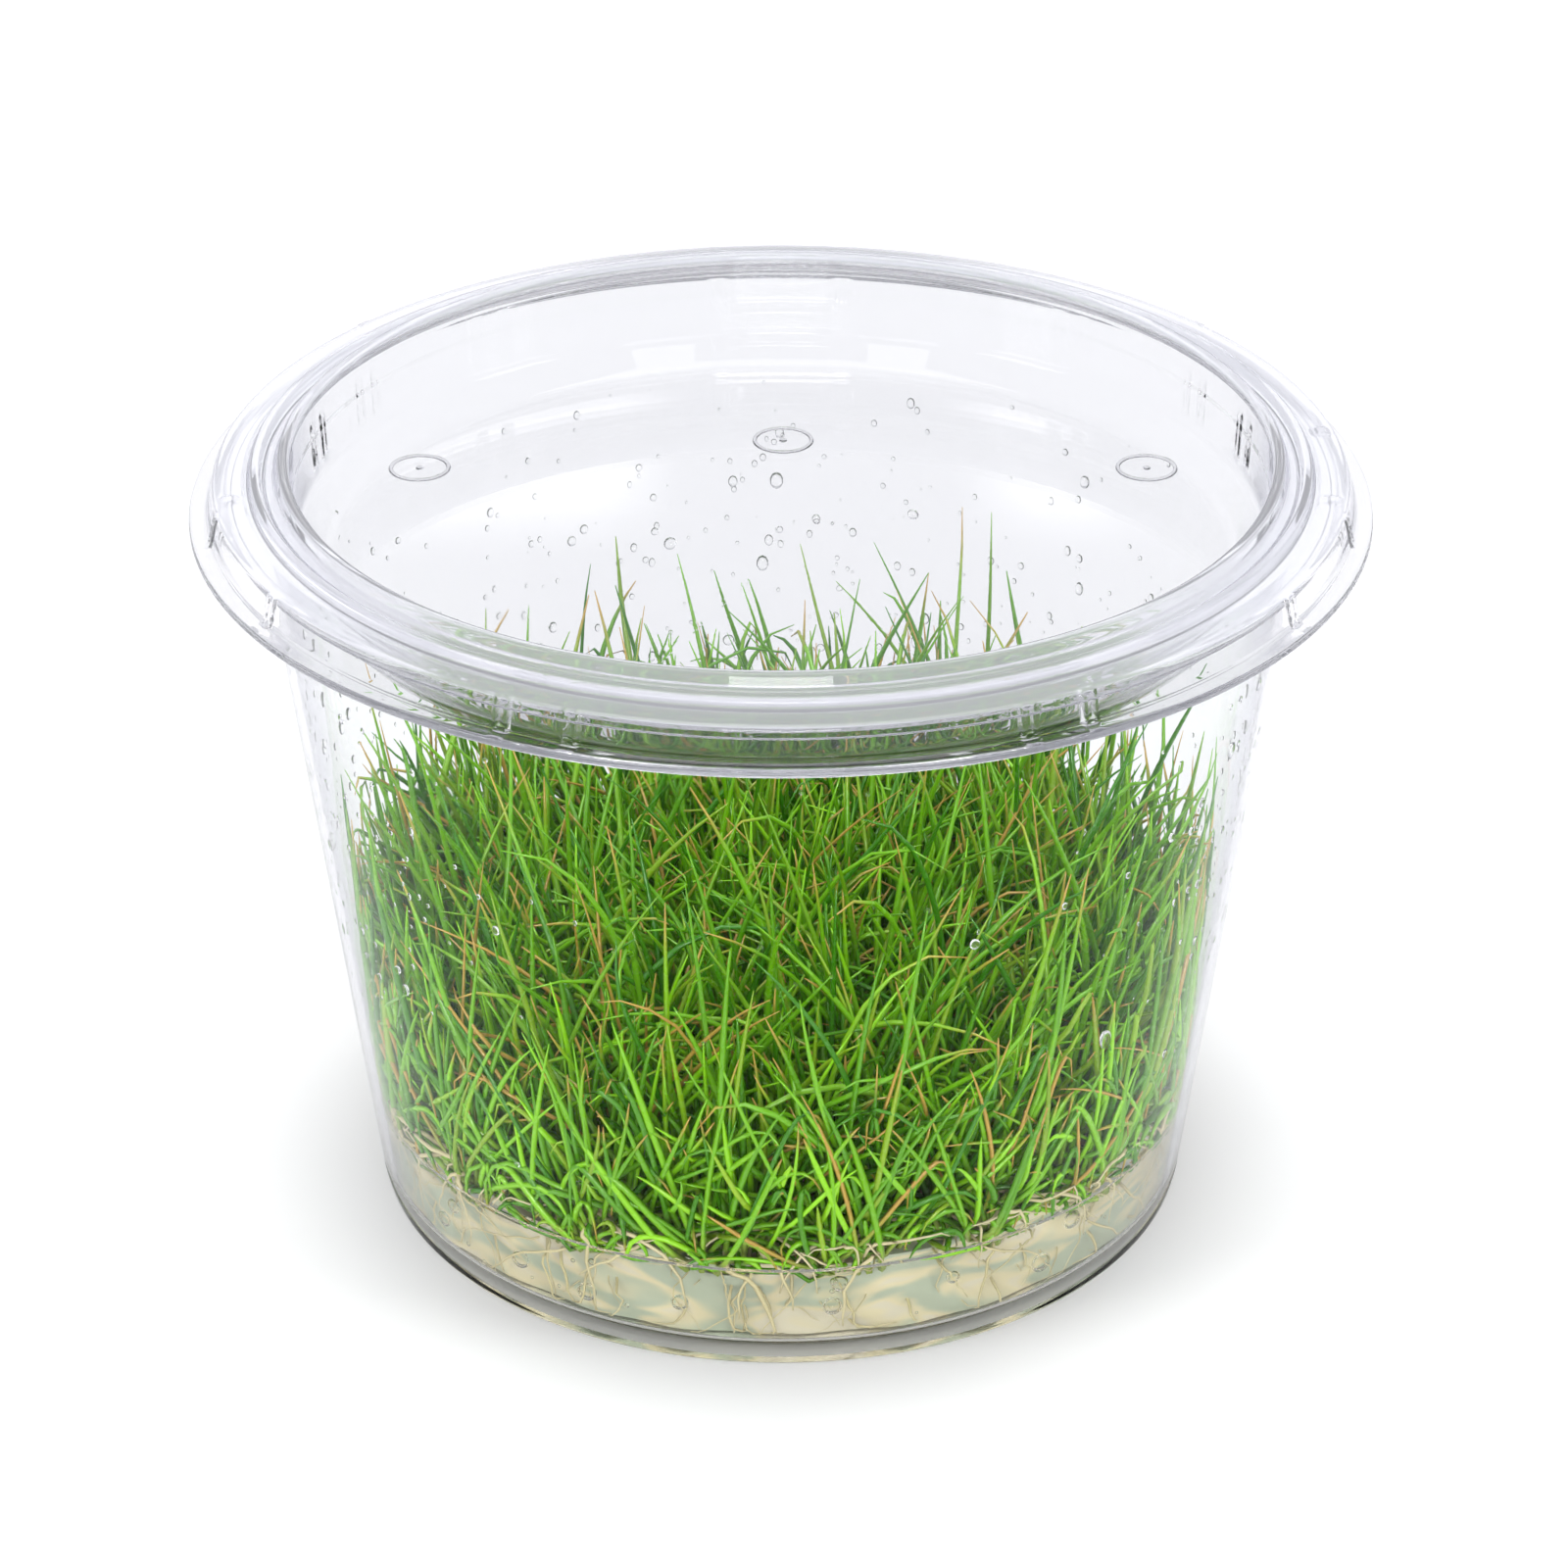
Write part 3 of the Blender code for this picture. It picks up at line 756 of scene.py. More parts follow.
def lid_relief(lid, first_upper_row):
    """A function that raises the ribs, the lugs and the finger tab on the lid's upper side."""
    skirt_low = HEM_BOTTOM + 1.0 * MM
    skirt_middle = (skirt_low + lid.ledge) / 2 - 0.1 * MM
    plug_middle = LID_BOX[1][2] - 4.8 * MM
    tab_low, tab_high = 66.0 * MM, 73.0 * MM
    plug_face = lid.plug_radius - 0.3 * MM

    def shape(radius, height, angles):
        upper = np.arange(len(radius))[:, None] >= first_upper_row
        on_skirt = upper & (radius > lid.shoulder_radius - 0.1 * MM) & (height > skirt_low - 0.2 * MM)
        on_wall = upper & (radius < lid.plug_radius + 0.05 * MM) & (height > lid.panel + 0.3 * MM)
        on_plug = on_wall & (radius > plug_face)
        on_ledge = upper & (height > lid.ledge - 0.05 * MM) & (radius > lid.outer_ridge_radius + 1.0 * MM)
        out, rise = np.zeros_like(radius), np.zeros_like(radius)
        for centre in SKIRT_RIB_ANGLES:
            across = np.radians(angle_from(angles, centre)) * lid.skirt_radius
            up = height - skirt_middle
            rim = pad(across, up, 0.85 * MM, 1.75 * MM, 0.3 * MM)
            dish = pad(across, up, 0.5 * MM, 1.35 * MM, 0.25 * MM)
            depth = 0.34 * MM if abs(centre) < 70 else 0.2 * MM  # the ribs at the sides are shallower
            out += on_skirt * depth * (rim - 0.85 * dish)
        for angle in PLUG_RIB_ANGLES:
            for centre in (-angle, angle):
                across = np.radians(angle_from(angles, centre)) * lid.plug_radius
                up = height - plug_middle
                rim = pad(across, up, 0.75 * MM, 2.4 * MM, 0.3 * MM)
                dish = pad(across, up, 0.4 * MM, 1.9 * MM, 0.25 * MM)
                out -= on_plug * (0.2 * rim - 0.17 * dish) * MM
        for centre in LEDGE_LUG_ANGLES:
            across = np.radians(angle_from(angles, centre)) * lid.shoulder_radius
            along = radius - (lid.shoulder_radius - 1.4 * MM)
            rise += on_ledge * pad(across, along, 1.0 * MM, 0.9 * MM, 0.4 * MM) * 0.2 * MM
        across = np.abs(np.radians(angle_from(angles, TAB_ANGLE))) * lid.plug_radius
        half = math.radians(TAB_HALF_ANGLE) * lid.plug_radius
        tab_middle = (tab_low + tab_high) / 2
        post = pad(across - (half - 0.8 * MM), height - tab_middle, 0.8 * MM, 3.6 * MM, 0.3 * MM)
        web = pad(across, height - (tab_low + 2.3 * MM), half - 0.9 * MM, 2.2 * MM, 0.35 * MM)
        hollow = pad(across, height - (tab_low + 2.5 * MM), half - 1.9 * MM, 1.4 * MM, 0.35 * MM)
        tab = np.maximum(1.5 * post, 1.0 * web - 0.5 * hollow) * MM
        out -= on_wall * np.maximum(tab - np.maximum(plug_face - radius, 0.0), 0.0)
        return radius + out, height + rise

    return shape


def gate_mark(place, height):
    """A thin raised ring round a small pip, left where the plastic was fed in."""
    turns = np.radians(even_angles(48))[:, None]
    around = np.radians(even_angles(8))[None, :]
    reach = (2.8 + 0.22 * np.cos(around)) * MM
    rise = 0.2 * np.sin(around) * MM + 0 * turns
    ring = np.stack([reach * np.sin(turns), -reach * np.cos(turns), rise], axis=-1)
    index = np.arange(ring.shape[0] * ring.shape[1]).reshape(ring.shape[:2])
    beside, above = np.roll(index, -1, axis=0), np.roll(index, -1, axis=1)
    quads = np.stack([index, beside, np.roll(beside, -1, axis=1), above], axis=-1).reshape(-1, 4)
    points, faces = ball(6, 12)
    pip = points * np.array([0.4, 0.4, 0.22]) * MM
    vertices, faces = joined([(ring.reshape(-1, 3), quads.tolist()), (pip, faces)])
    return vertices + np.array([*place, height]), faces


def gel_shape(cup, gel, rng, inset):
    """Vertices and faces of the wavy gel, which climbs the wall, or of its core when there is an inset."""
    gap = 0.12 * MM + inset
    surface = gel.top - 0.25 * inset
    edge = surface + (gel.meniscus if inset == 0 else 0.0)
    bottom = GEL_BOX[0][2] - (0.25 * MM if inset == 0 else 0.18 * MM)
    climb = edge - surface
    corners = [
        (0, bottom, 0),
        (cup_inner(cup, bottom) - gap, bottom, 1.5 * MM if inset == 0 else 0.2 * MM),
        (cup_inner(cup, edge) - gap, edge, 0.02 * MM if inset == 0 else 0.6 * MM),
        (cup_inner(cup, edge) - gap - 0.3 * MM, surface + 0.4 * climb, 0.3 * MM),
        (cup_inner(cup, edge) - gap - 1.6 * MM, surface, 0.8 * MM),
        (0, surface, 0),
    ]
    outline = cut_long_steps(round_corners(corners), 1.2 * MM)
    waves = [
        (rng.uniform(-1, 1, 2) * scale / MM, rng.uniform(0, 6.28), depth * MM)
        for scale, depth in ((0.25, 0.16), (0.5, 0.1), (0.8, 0.06)) * 3
    ]

    def shape(radius, height, angles):
        turns = np.radians(angles)
        x, y = radius * np.sin(turns), -radius * np.cos(turns)
        ripple = sum(depth * np.sin(x * way[0] + y * way[1] + start) for way, start, depth in waves)
        on_top = smooth_step(height, surface - 0.3 * MM, surface - 0.1 * MM)
        wall = cup_inner(cup, gel.top)
        inside = 1 - smooth_step(radius, wall - 3 * MM, wall - 0.5 * MM)
        lumps = np.sin(angles * 0.31 + height / MM * 0.9) * np.sin(angles * 0.13 + 2.0 + height / MM * 0.5)
        return radius - 0.45 * inset * (0.5 + 0.5 * lumps), height + ripple * on_top * inside

    return turned(outline, even_angles(GEL_TURNS), shape)


def tuft_places():
    """Where each tuft grows, read from the root tip of its solid."""
    places = {}
    for name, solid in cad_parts.items():
        if name.startswith("tuft_"):
            lowest = min(solid.data.vertices, key=lambda vertex: vertex.co.z)
            places[name] = np.array([lowest.co.x, lowest.co.y])
    return dict(sorted(places.items()))


def scatter(rng, place, reach, count):
    """Starts of strands, spread evenly over a round patch about a place."""
    spot = rng.uniform(0, 2 * math.pi, count)
    spread = reach * np.sqrt(rng.uniform(0, 1, count))
    start = np.stack([spread * np.sin(spot), -spread * np.cos(spot), np.zeros(count)], axis=-1)
    start[:, :2] += place
    return start


def strand_paths(start, length, lean, heading, bend, sway, hook, steps):
    """Middle lines of thin strands that lean along a heading and bend more towards the tip."""
    share = np.linspace(0.0, 1.0, steps)[None, :]
    tilt = lean[:, None] + bend[:, None] * share**1.5 + hook[:, None] * share**5
    turn = heading[:, None] + sway[:, None] * share
    step = (length / (steps - 1))[:, None]
    level = np.sin(tilt) * step
    move = np.stack([level * np.sin(turn), -level * np.cos(turn), np.cos(tilt) * step], axis=-1)
    path = np.cumsum(move, axis=1) - move[:, :1]
    return path + start[:, None, :]


def keep_inside(path, cup, soft):
    """Presses strands softly inside the wall, further off it higher up, and under the lid's panel."""
    radius = np.linalg.norm(path[..., :2], axis=-1)
    lean_off = LEAN_OFF_SLOPE * np.clip(path[..., 2] - LEAN_OFF_HEIGHT, 0.0, None)
    limit = cup_inner(cup, path[..., 2]) - WALL_GAP - lean_off
    over = (radius - (limit - soft)) / soft
    pressed = np.where(over > 0, limit - soft + soft * np.tanh(over), radius)
    scale = np.where(radius > 1e-9, pressed / np.maximum(radius, 1e-9), 1.0)
    path = path.copy()
    path[..., 0] *= scale
    path[..., 1] *= scale
    path[..., 2] = np.minimum(path[..., 2], LEAF_CEILING)
    return path


def tubes(path, heading, radii, first_strip, strips):
    """Closed four-sided tubes along middle lines, and the map that gives each its own strip."""
    count, steps, _ = path.shape
    sides = STRAND_SIDES
    ahead = np.gradient(path, axis=1)
    ahead /= np.maximum(np.linalg.norm(ahead, axis=-1, keepdims=True), 1e-12)
    side = np.stack([np.cos(heading), np.sin(heading), np.zeros_like(heading)], axis=-1)[:, None, :]
    side = side - (side * ahead).sum(-1, keepdims=True) * ahead
    side /= np.maximum(np.linalg.norm(side, axis=-1, keepdims=True), 1e-12)
    up = np.cross(ahead, side)
    turns = np.radians(even_angles(sides))
    ring = side[:, :, None, :] * np.cos(turns)[None, None, :, None]
    ring = ring + up[:, :, None, :] * np.sin(turns)[None, None, :, None]
    vertices = path[:, :, None, :] + ring * radii[:, :, None, None]
    index = np.arange(count * steps * sides).reshape(count, steps, sides)
    beside = np.roll(index, -1, axis=2)
    quads = np.stack([index[:, :-1], beside[:, :-1], beside[:, 1:], index[:, 1:]], axis=-1)
    strip = (first_strip + np.arange(count))[:, None, None, None]
    corner = np.arange(sides)[None, None, :, None]
    across = (strip + 0.1 + 0.8 * (corner + np.array([0, 1, 1, 0])) / sides) / strips
    rows = np.arange(steps - 1)[None, :, None, None] + np.array([0, 0, 1, 1])
    along = np.broadcast_to(rows / (steps - 1), quads.shape)
    across = np.broadcast_to(across, quads.shape)
    uv = np.stack([across, along], axis=-1).reshape(-1, 2)
    ends = np.concatenate([index[:, 0, ::-1], index[:, -1]])
    middles = np.repeat((first_strip + np.arange(count) + 0.5) / strips, sides)
    end_uv = [np.stack([middles, np.full(count * sides, place)], axis=-1) for place in (0.0, 1.0)]
    faces = np.concatenate([quads.reshape(-1, 4), ends])
    return vertices.reshape(-1, 3), faces, np.concatenate([uv, *end_uv])


def taper(steps, radius, begins, tip):
    """Radii of strands that keep their width and then narrow to a fine tip."""
    share = np.linspace(0.0, 1.0, steps)[None, :]
    narrowing = np.clip((share - begins) / (1 - begins), 0, 1)
    return radius[:, None] * (1 - (1 - tip) * narrowing**1.6)


def leaf_lines(rng, place, cup, gel, leaves):
    """Paths, headings and radii of a tuft's leaves: tall ones, a middle layer and a low undergrowth."""
    count = leaves.leaves
    order = np.arange(count)
    spent = order < leaves.spent
    tall = ~spent & (order < leaves.spent + leaves.tall)
    low = ~spent & ~tall & (rng.uniform(0, 1, count) < 0.38)
    start = scatter(rng, place, LEAF_SPREAD, count)
    start[:, 2] = gel.top - 0.8 * MM
    length = rng.uniform(19, 31, count) * MM
    length[tall] = leaves.tallest * rng.uniform(0.74, 1.0, tall.sum())
    length[spent] = leaves.tallest * rng.uniform(0.55, 0.9, spent.sum())
    length[low] = rng.uniform(5, 19, low.sum()) * MM
    outward = math.atan2(place[0], -place[1])
    edge = np.linalg.norm(place) / MAT_RADIUS
    own = np.arctan2(start[:, 0] - place[0], -(start[:, 1] - place[1]))
    heading = np.where(rng.uniform(0, 1, count) < 0.5 * edge, outward, own)
    heading = heading + rng.normal(0, 1.2, count)
    lean = np.abs(rng.normal(0.1, 0.13, count)) + 0.1 * edge
    slanted = rng.uniform(0, 1, count) < 0.42
    lean[slanted] += rng.uniform(0.15, 0.75, slanted.sum())
    lean[low] += rng.uniform(0.1, 0.6, low.sum())
    lean[spent] += rng.uniform(0.0, 0.5, spent.sum())
    bend = np.abs(rng.normal(0.3, 0.3, count))
    bend[low] += rng.uniform(0.2, 2.2, low.sum())
    arched = rng.uniform(0, 1, count) < 0.13
    bend[arched] += rng.uniform(0.5, 1.3, arched.sum())
    hook = np.where(rng.uniform(0, 1, count) < 0.1 + 0.1 * edge, rng.uniform(0.6, 2.2, count), 0.0)
    sway = rng.normal(0, 0.35, count)
    sway[low] += rng.normal(0, 1.1, low.sum())
    path = strand_paths(start, length, lean, heading, bend, sway, hook, LEAF_STEPS)
    path = keep_inside(path, cup, 2.2 * MM)
    floor = gel.top + 0.2 * MM
    path[:, 3:, 2] = np.maximum(path[:, 3:, 2], floor)
    radius = leaves.radius * rng.uniform(0.72, 1.12, count)
    radius[low] *= 0.9
    radius[spent] *= 0.66
    return path, heading, taper(LEAF_STEPS, radius, 0.6, 0.16)


def root_lines(rng, place, cup, gel, leaves):
    """Paths, headings and radii of a tuft's roots, which wander down and outwards through the gel."""
    count = leaves.roots
    outer = np.linalg.norm(place) > OUTER_TUFTS
    start = scatter(rng, place, ROOT_SPREAD, count)
    thick = rng.uniform(0, 1, count) < 0.3
    rise = np.where(thick, rng.uniform(0.2, 1.8, count), rng.uniform(-0.4, 0.8, count))
    start[:, 2] = gel.top + rise * MM
    outward = math.atan2(place[0], -place[1])
    heading = outward + rng.normal(0, 0.7 if outer else 2.5, count)
    lean = np.where(thick, rng.uniform(0.7, 1.5, count), rng.uniform(1.3, 2.6, count))
    bend = np.where(thick, rng.uniform(1.0, 2.2, count), rng.uniform(-0.4, 1.0, count))
    length = rng.uniform(7, 20, count) * MM
    sway = rng.normal(0, 1.6, count)
    path = strand_paths(start, length, lean, heading, bend, sway, np.zeros(count), ROOT_STEPS)
    wander = np.cumsum(rng.normal(0, 0.22 * MM, (count, ROOT_STEPS, 3)), axis=1)
    path = keep_inside(path + wander, cup, 1.2 * MM)
    low = cup.floor_top + 0.6 * MM
    path[..., 2] = np.clip(path[..., 2], low + rng.uniform(0, 0.8, (count, 1)) * MM, gel.top + 3.0 * MM)
    radius = np.where(thick, rng.uniform(0.17, 0.3, count), rng.uniform(0.08, 0.2, count)) * MM
    return path, heading, taper(ROOT_STEPS, radius, 0.2, 0.35)


def ball(rings=5, sides=8):
    """Vertices and faces of a unit ball."""
    tilt = np.linspace(-90, 90, rings + 1)
    outline = [(math.cos(math.radians(t)), math.sin(math.radians(t))) for t in tilt]
    outline[0], outline[-1] = (0, -1.0), (0, 1.0)
    return turned(outline, even_angles(sides))


def make_tuft(name, place, settings, materials, seed):
    """One tuft: its leaves and roots as tapering tubes, and specks of dew on the leaves."""
    cup, gel, leaves, dew = settings
    rng = np.random.default_rng(seed)
    strands = leaves.leaves + leaves.roots
    leaf_path, leaf_heading, leaf_radii = leaf_lines(rng, place, cup, gel, leaves)
    root_path, root_heading, root_radii = root_lines(rng, place, cup, gel, leaves)
    leaf_part = tubes(leaf_path, leaf_heading, leaf_radii, 0, strands)
    root_part = tubes(root_path, root_heading, root_radii, leaves.leaves, strands)
    specks = []
    points, polygons = ball(4, 6)
    for _ in range(dew.leaf_drops):
        leaf = rng.integers(len(leaf_path))
        step = rng.integers(3, leaf_path.shape[1])
        size = rng.uniform(0.16, 0.3) * MM
        way = rng.normal(0, 1, 3)
        way /= np.linalg.norm(way)
        centre = leaf_path[leaf, step] + way * leaf_radii[leaf, step]
        specks.append((points * size + centre, polygons))
    drop_part = joined(specks)
    start = len(leaf_part[0])
    vertices = np.concatenate([leaf_part[0], root_part[0], drop_part[0]])
    faces = leaf_part[1].tolist() + (root_part[1] + start).tolist()
    later = start + len(root_part[0])
    faces += [[later + corner for corner in face] for face in drop_part[1]]
    obj = make_mesh(name, vertices, faces, materials)
    mesh = obj.data
    counts = [len(part[1]) for part in (leaf_part, root_part, drop_part)]
    mesh.polygons.foreach_set("material_index", np.repeat(np.arange(3, dtype=np.int32), counts))
    strips = np.concatenate([leaf_part[2], root_part[2]])
    uv = np.zeros((len(mesh.loops), 2), np.float32)
    uv[: len(strips)] = strips
    mesh.uv_layers.new(name=LEAF_MAP).data.foreach_set("uv", uv.ravel())
    return obj


def drop_on_wall(points, faces, angle, height, cup, size, stretch, flatness):
    """A drop that clings to the inside of the wall."""
    turn = math.radians(angle)
    inward = np.array([-math.sin(turn), math.cos(turn), 0.0])
    along = np.array([math.cos(turn), math.sin(turn), 0.0])
    up = np.array([0.0, 0.0, 1.0])
    centre = -inward * (cup_inner(cup, height) + 0.1 * size) + up * height
    body = points[:, :1] * along * size + points[:, 1:2] * inward * size * flatness
    body = body + points[:, 2:] * up * size * stretch
    sag = np.clip(-points[:, 2:], 0, 1) * inward * size * 0.15
    return body + centre + sag, faces


def settings_of(context):
    """The scene's cup, gel, leaf and dew settings."""
    scene = context.scene
    return scene.spikerush_cup, scene.spikerush_gel, scene.spikerush_leaves, scene.spikerush_dew


def finish_piece(piece, slot, *nodes):
    """Fixes a piece to the cup's body and hides the solids that it stands for."""
    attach(piece, BODY)
    if nodes:
        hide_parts(*nodes)


class SPIKERUSH_OT_cup(bpy.types.Operator):
    """Builds the clear cup"""

    bl_idname = "spikerush.cup"
    bl_label = "Cup"

    def execute(self, context):
        cup = context.scene.spikerush_cup
        shade = (0.91, 0.91, 0.89)
        material = clear_plastic("clear_cup_plastic", cup.tint, cup.edge, 0.03, shade, ior=1.17, glare=0.25)
        vertices, faces = turned(cup_outline(cup), even_angles(CUP_TURNS))
        piece = make_mesh("cup_shell", vertices, faces, [material])
        finish_piece(piece, "cup_plastic", "cup")
        return {"FINISHED"}


class SPIKERUSH_OT_lid(bpy.types.Operator):
    """Builds the clear lid with its ribs, finger tab and gate marks"""

    bl_idname = "spikerush.lid"
    bl_label = "Lid"

    def execute(self, context):
        lid = context.scene.spikerush_lid
        waves, shade = 0.012, (0.95, 0.95, 0.96)
        clear = clear_plastic("clear_lid_plastic", lid.tint, lid.edge, waves, shade, ior=1.26, glare=0.7)
        milky = clear_plastic("milky_lid_rim", lid.rim_tint, lid.edge, waves, shade, 1.36, 0.9, 0.68)
        ribs = [*SKIRT_RIB_ANGLES, *LEDGE_LUG_ANGLES]
        ribs += [side * angle for angle in PLUG_RIB_ANGLES for side in (-1, 1)]
        angles = fine_angles(LID_TURNS, ribs, 1.15, 9)
        posts = [TAB_ANGLE + side * TAB_HALF_ANGLE for side in (-1, 1)]
        angles = sorted({*angles, *fine_angles(4, posts, 2.6, 14)})
        outline, first_upper_row = lid_outline(lid)
        body = turned(outline, angles, lid_relief(lid, first_upper_row))
        marks = [gate_mark(place, lid.panel) for place in GATE_MARKS]
        vertices, faces = joined([body, *marks])
        piece = make_mesh("lid_shell", vertices, faces, [clear, milky])
        rim_height = lid.ledge - 0.25 * MM
        for face in piece.data.polygons:
            if face.center.z > rim_height and face.normal.z > 0.1:
                face.material_index = 1
        finish_piece(piece, "lid_plastic", "lid")
        return {"FINISHED"}


class SPIKERUSH_OT_gel(bpy.types.Operator):
    """Builds the gel and the bubbles caught in it"""

    bl_idname = "spikerush.gel"
    bl_label = "Gel"

    def execute(self, context):
        cup, gel, _, _ = settings_of(context)
        rng = np.random.default_rng(GEL_SEED)
        vertices, faces = gel_shape(cup, gel, rng, 0.0)
        points, polygons = ball(10, 16)
        inward = [face[::-1] for face in polygons]
        places = list(LARGE_BUBBLES)
        for _ in range(gel.bubbles):
            size = min(0.55, rng.lognormal(-1.6, 0.5))
            places.append((rng.uniform(-180, 180), rng.uniform(2.9, 9.6), size))
        holes = []
        for angle, height, size in places:
            turn, size, height = math.radians(angle), size * MM, height * MM
            reach = cup_inner(cup, height) - size - rng.uniform(0.25, 0.6) * MM
            centre = np.array([reach * math.sin(turn), -reach * math.cos(turn), height])
            holes.append((points * size + centre, inward))
        vertices, faces = joined([(vertices, faces), *holes])
        piece = make_mesh("gel_body", vertices, faces, [clear_gel_material()])
        finish_piece(piece, "gel", "gel")
        vertices, faces = gel_shape(cup, gel, rng, CORE_INSET)
        core = make_mesh("gel_core", vertices, faces, [cloudy_gel_material(gel)])
        finish_piece(core, "gel")
        return {"FINISHED"}


class SPIKERUSH_OT_tufts(bpy.types.Operator):
    """Builds every tuft of spikerush with its roots and dew"""

    bl_idname = "spikerush.tufts"
    bl_label = "Tufts"

    def execute(self, context):
        settings = settings_of(context)
        leaves = settings[2]
        strands = leaves.leaves + leaves.roots
        water = water_material("leaf_dew_water")
        materials = [leaf_material(leaves, strands), root_material(leaves, strands), water]
        places = tuft_places()
        if not places:
            raise RuntimeError("The frame has no tuft to grow leaves from")
        for seed, (name, place) in enumerate(places.items(), start=FIRST_TUFT_SEED):
            piece = make_tuft(f"{name}_plant", place, settings, materials, seed)
            finish_piece(piece, "leaf", name)
        return {"FINISHED"}


class SPIKERUSH_OT_dew(bpy.types.Operator):
    """Builds the drops that cling to the inside of the wall"""

    bl_idname = "spikerush.dew"
    bl_label = "Dew on the wall"

    def execute(self, context):
        cup, gel, _, dew = settings_of(context)
        rng = np.random.default_rng(DEW_SEED)
        points, polygons = ball(5, 8)
        drops = []
        for _ in range(dew.wall_drops):
            size = min(0.7, rng.lognormal(-1.55, 0.55)) * MM
            height = rng.normal(43, 9) * MM
            height = min(max(height, gel.top + 3 * MM), DEW_CEILING)
            around = abs(rng.normal(0, 45)) if rng.uniform() < 0.5 else rng.normal(105, 18)
            angle = rng.choice((-1, 1)) * (180 - min(around, 170))
            stretch, flatness = rng.uniform(0.9, 1.5), rng.uniform(0.4, 0.75)
            drops.append(drop_on_wall(points, polygons, angle, height, cup, size, stretch, flatness))
        vertices, faces = joined(drops)
        piece = make_mesh("wall_dew", vertices, faces, [water_material("wall_dew_water")])
        finish_piece(piece, "cup_plastic")
        return {"FINISHED"}


def area_light(name, place, aim, size, power):
    """A soft white rectangular lamp that points at a place."""
    data = bpy.data.lights.new(name, "AREA")
    data.shape = "RECTANGLE"
    data.size, data.size_y = size
    data.energy = power
    lamp = bpy.data.objects.new(name, data)
    lamp.location = place
    lamp.rotation_euler = (Vector(aim) - Vector(place)).to_track_quat("-Z", "Y").to_euler()
    bpy.context.scene.collection.objects.link(lamp)


def soft_pane(room, way, left, right):
    """A mask of a high window behind the cup, with soft edges, from the direction in which a ray leaves."""
    soft = WINDOW_SOFTNESS
    left_side = ramp(room, way["X"], left - soft, left + soft)
    right_side = ramp(room, way["X"], right + soft, right - soft)
    across = product(room, left_side, right_side)
    up = product(room, ramp(room, way["Z"], *WINDOW_FOOT), ramp(room, way["Z"], *reversed(WINDOW_HEAD)))
    behind = math_node(room, "GREATER_THAN", way["Y"], 0.0)
    return product(room, product(room, across, up), behind)


def room_air(studio):
    """The studio's air: pale walls, a darker ceiling and two windows."""
    world = bpy.data.worlds.new("studio_air")
    world.use_nodes = True
    room = world.node_tree
    outward = room.nodes.new("ShaderNodeTexCoord").outputs["Generated"]
    way = add_node(room, "ShaderNodeSeparateXYZ", {0: outward}).outputs
    colour = mix_colours(room, ramp(room, way["Z"], 0.45, 0.75), studio.walls, studio.air)
    for left, right in WINDOWS:
        colour = mix_colours(room, soft_pane(room, way, left, right), colour, studio.window)
    room.links.new(colour, room.nodes["Background"].inputs["Color"])
    return world


def floor_material(studio):
    """Dull pale paper."""
    material, tree, shader = new_material("floor_paper")
    _, normal = unevenness(tree, 400.0, 0.03)
    paper = {"Base Color": studio.floor, "Roughness": 0.9, "Specular IOR Level": 0.1, "Normal": normal}
    fill(tree, shader, paper)
    return material


class SPIKERUSH_OT_studio(bpy.types.Operator):
    """Builds the camera, the floor and the soft lights"""

    bl_idname = "spikerush.studio"
    bl_label = "Studio"

    def execute(self, context):
        scene, studio = context.scene, context.scene.spikerush_studio
        data = bpy.data.cameras.new("camera")
        data.lens = studio.lens
        data.sensor_width = 36.0
        data.shift_x = studio.shift
        camera = bpy.data.objects.new("camera", data)
        camera.location = (0, -studio.distance, studio.height)
        camera.rotation_euler = (math.pi / 2 - studio.tilt, 0, 0)
        scene.collection.objects.link(camera)
        scene.camera = camera
        half = FLOOR_HALF
        corners = [(-half, -half, 0), (half, -half, 0), (half, half, 0), (-half, half, 0)]
        paper = floor_material(studio)
        floor = make_mesh("studio_floor", corners, [(0, 1, 2, 3)], [paper], smooth=False)
        scene.world = room_air(studio)
        for lamp in LAMPS:
            area_light(*lamp)
        scene.view_settings.view_transform = "Standard"
        scene.cycles.max_bounces = 18
        scene.cycles.transmission_bounces = 18
        scene.cycles.glossy_bounces = 12
        scene.cycles.transparent_max_bounces = 24
        scene.cycles.diffuse_bounces = 1
        return {"FINISHED"}


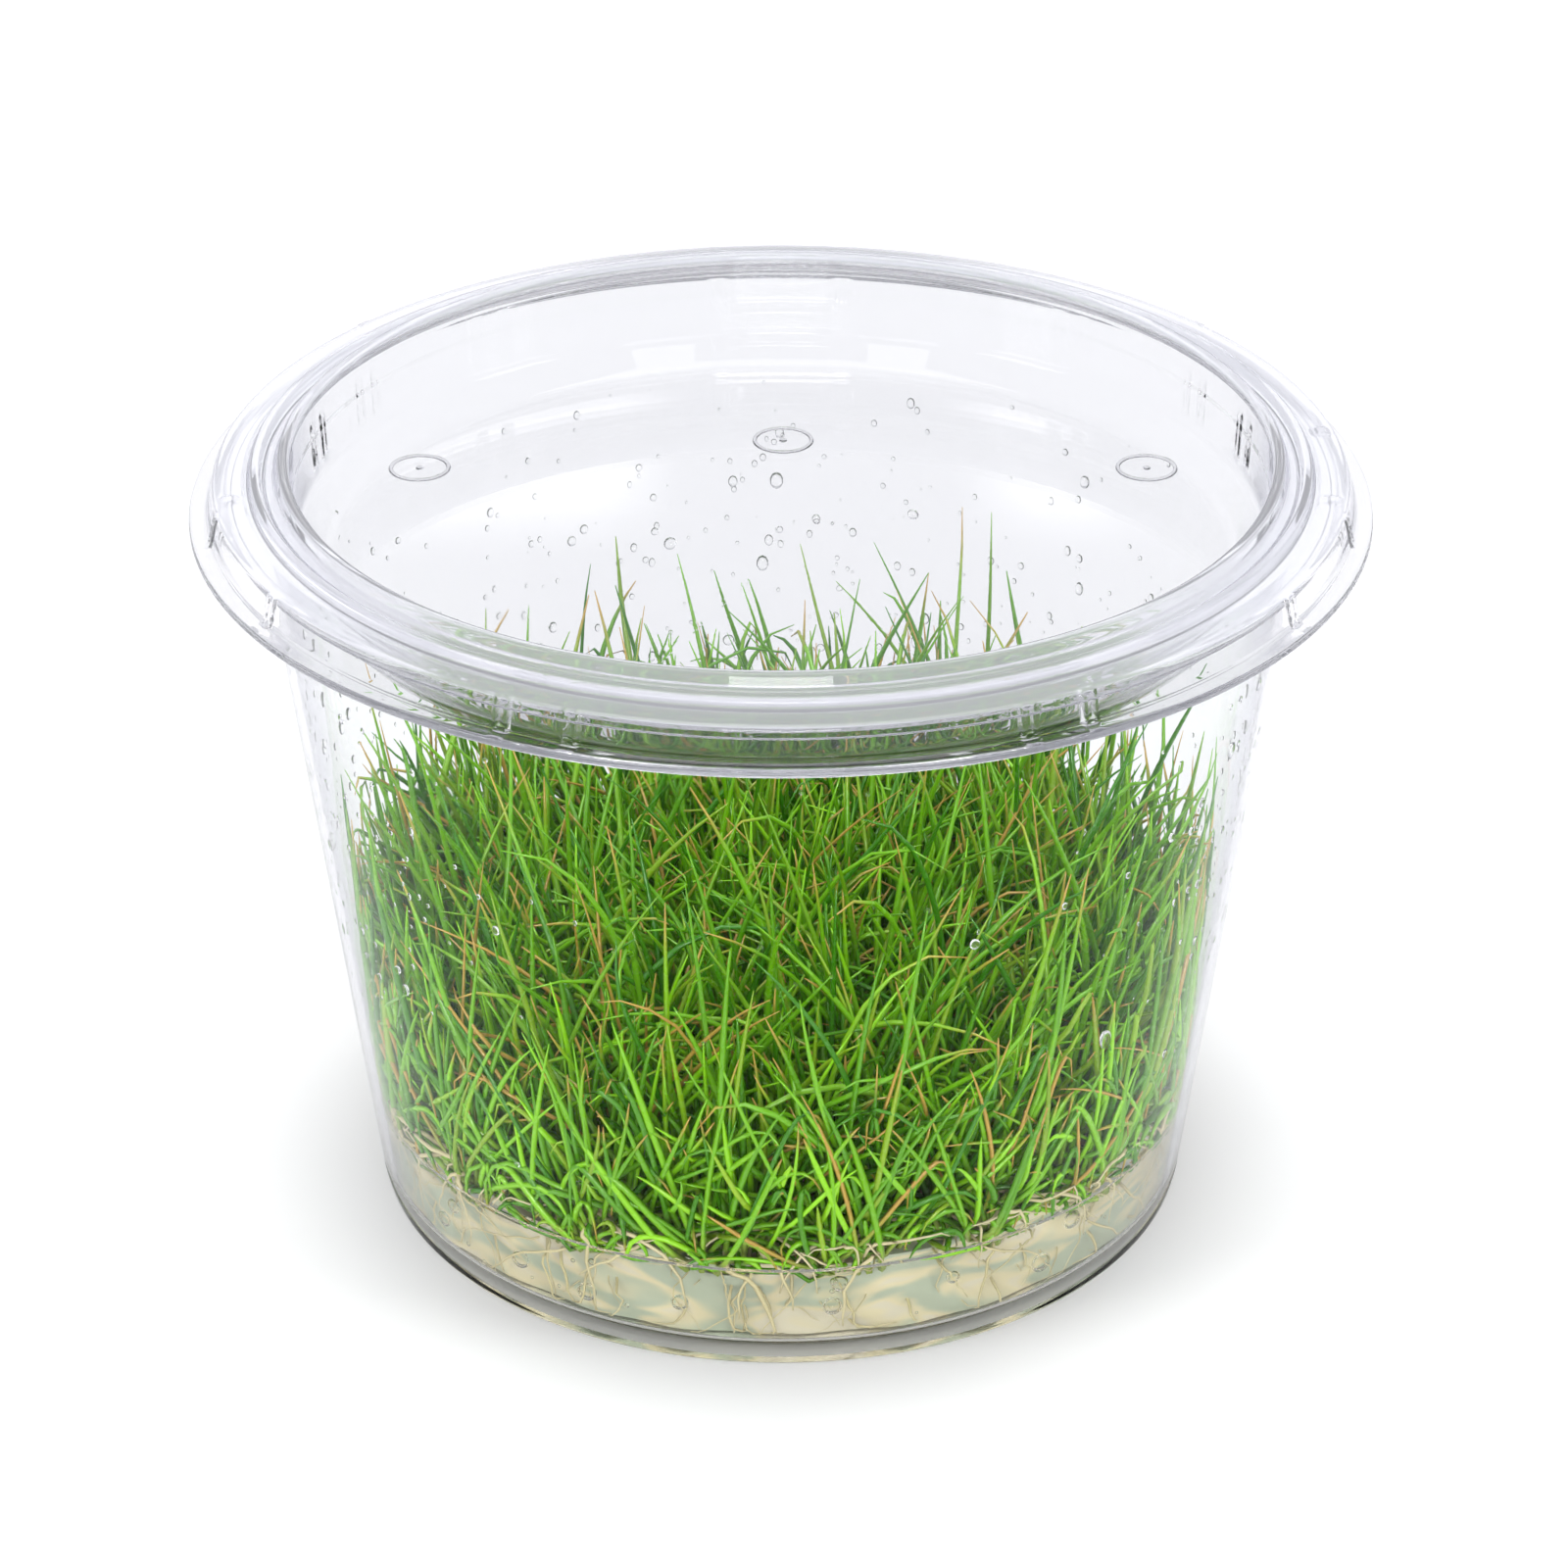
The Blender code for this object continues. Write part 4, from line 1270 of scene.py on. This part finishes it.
class SPIKERUSH_PT_panel(bpy.types.Panel):
    """Lists the steps and the settings of the culture cup"""

    bl_label = "Spikerush cup"
    bl_idname = "SPIKERUSH_PT_panel"
    bl_space_type = "VIEW_3D"
    bl_region_type = "UI"
    bl_category = "Spikerush"

    def draw(self, context):
        scene = context.scene
        for title, group, steps in PANEL_ROWS:
            box = self.layout.box()
            box.label(text=title)
            settings = getattr(scene, group)
            for name in settings.__annotations__:
                box.prop(settings, name)
            for step in steps:
                box.operator(step)


PANEL_ROWS = (
    ("Cup", "spikerush_cup", ("spikerush.cup",)),
    ("Lid", "spikerush_lid", ("spikerush.lid",)),
    ("Gel", "spikerush_gel", ("spikerush.gel",)),
    ("Leaves and roots", "spikerush_leaves", ("spikerush.tufts",)),
    ("Dew", "spikerush_dew", ("spikerush.dew",)),
    ("Studio", "spikerush_studio", ("spikerush.studio",)),
)

SETTINGS = {
    "spikerush_cup": CupSettings,
    "spikerush_lid": LidSettings,
    "spikerush_gel": GelSettings,
    "spikerush_leaves": LeafSettings,
    "spikerush_dew": DewSettings,
    "spikerush_studio": StudioSettings,
}

CLASSES = (
    *SETTINGS.values(),
    SPIKERUSH_OT_cup,
    SPIKERUSH_OT_lid,
    SPIKERUSH_OT_gel,
    SPIKERUSH_OT_tufts,
    SPIKERUSH_OT_dew,
    SPIKERUSH_OT_studio,
    SPIKERUSH_PT_panel,
)


def register():
    """Registers the classes and gives the scene its settings."""
    for cls in CLASSES:
        bpy.utils.register_class(cls)
    for name, group in SETTINGS.items():
        setattr(bpy.types.Scene, name, PointerProperty(type=group))


def unregister():
    """Takes the settings and the classes away again."""
    for name in SETTINGS:
        delattr(bpy.types.Scene, name)
    for cls in reversed(CLASSES):
        bpy.utils.unregister_class(cls)


def main():
    """Builds every piece."""
    register()
    bpy.ops.spikerush.studio()
    bpy.ops.spikerush.cup()
    bpy.ops.spikerush.lid()
    bpy.ops.spikerush.gel()
    bpy.ops.spikerush.tufts()
    bpy.ops.spikerush.dew()


if __name__ == "__main__":
    main()
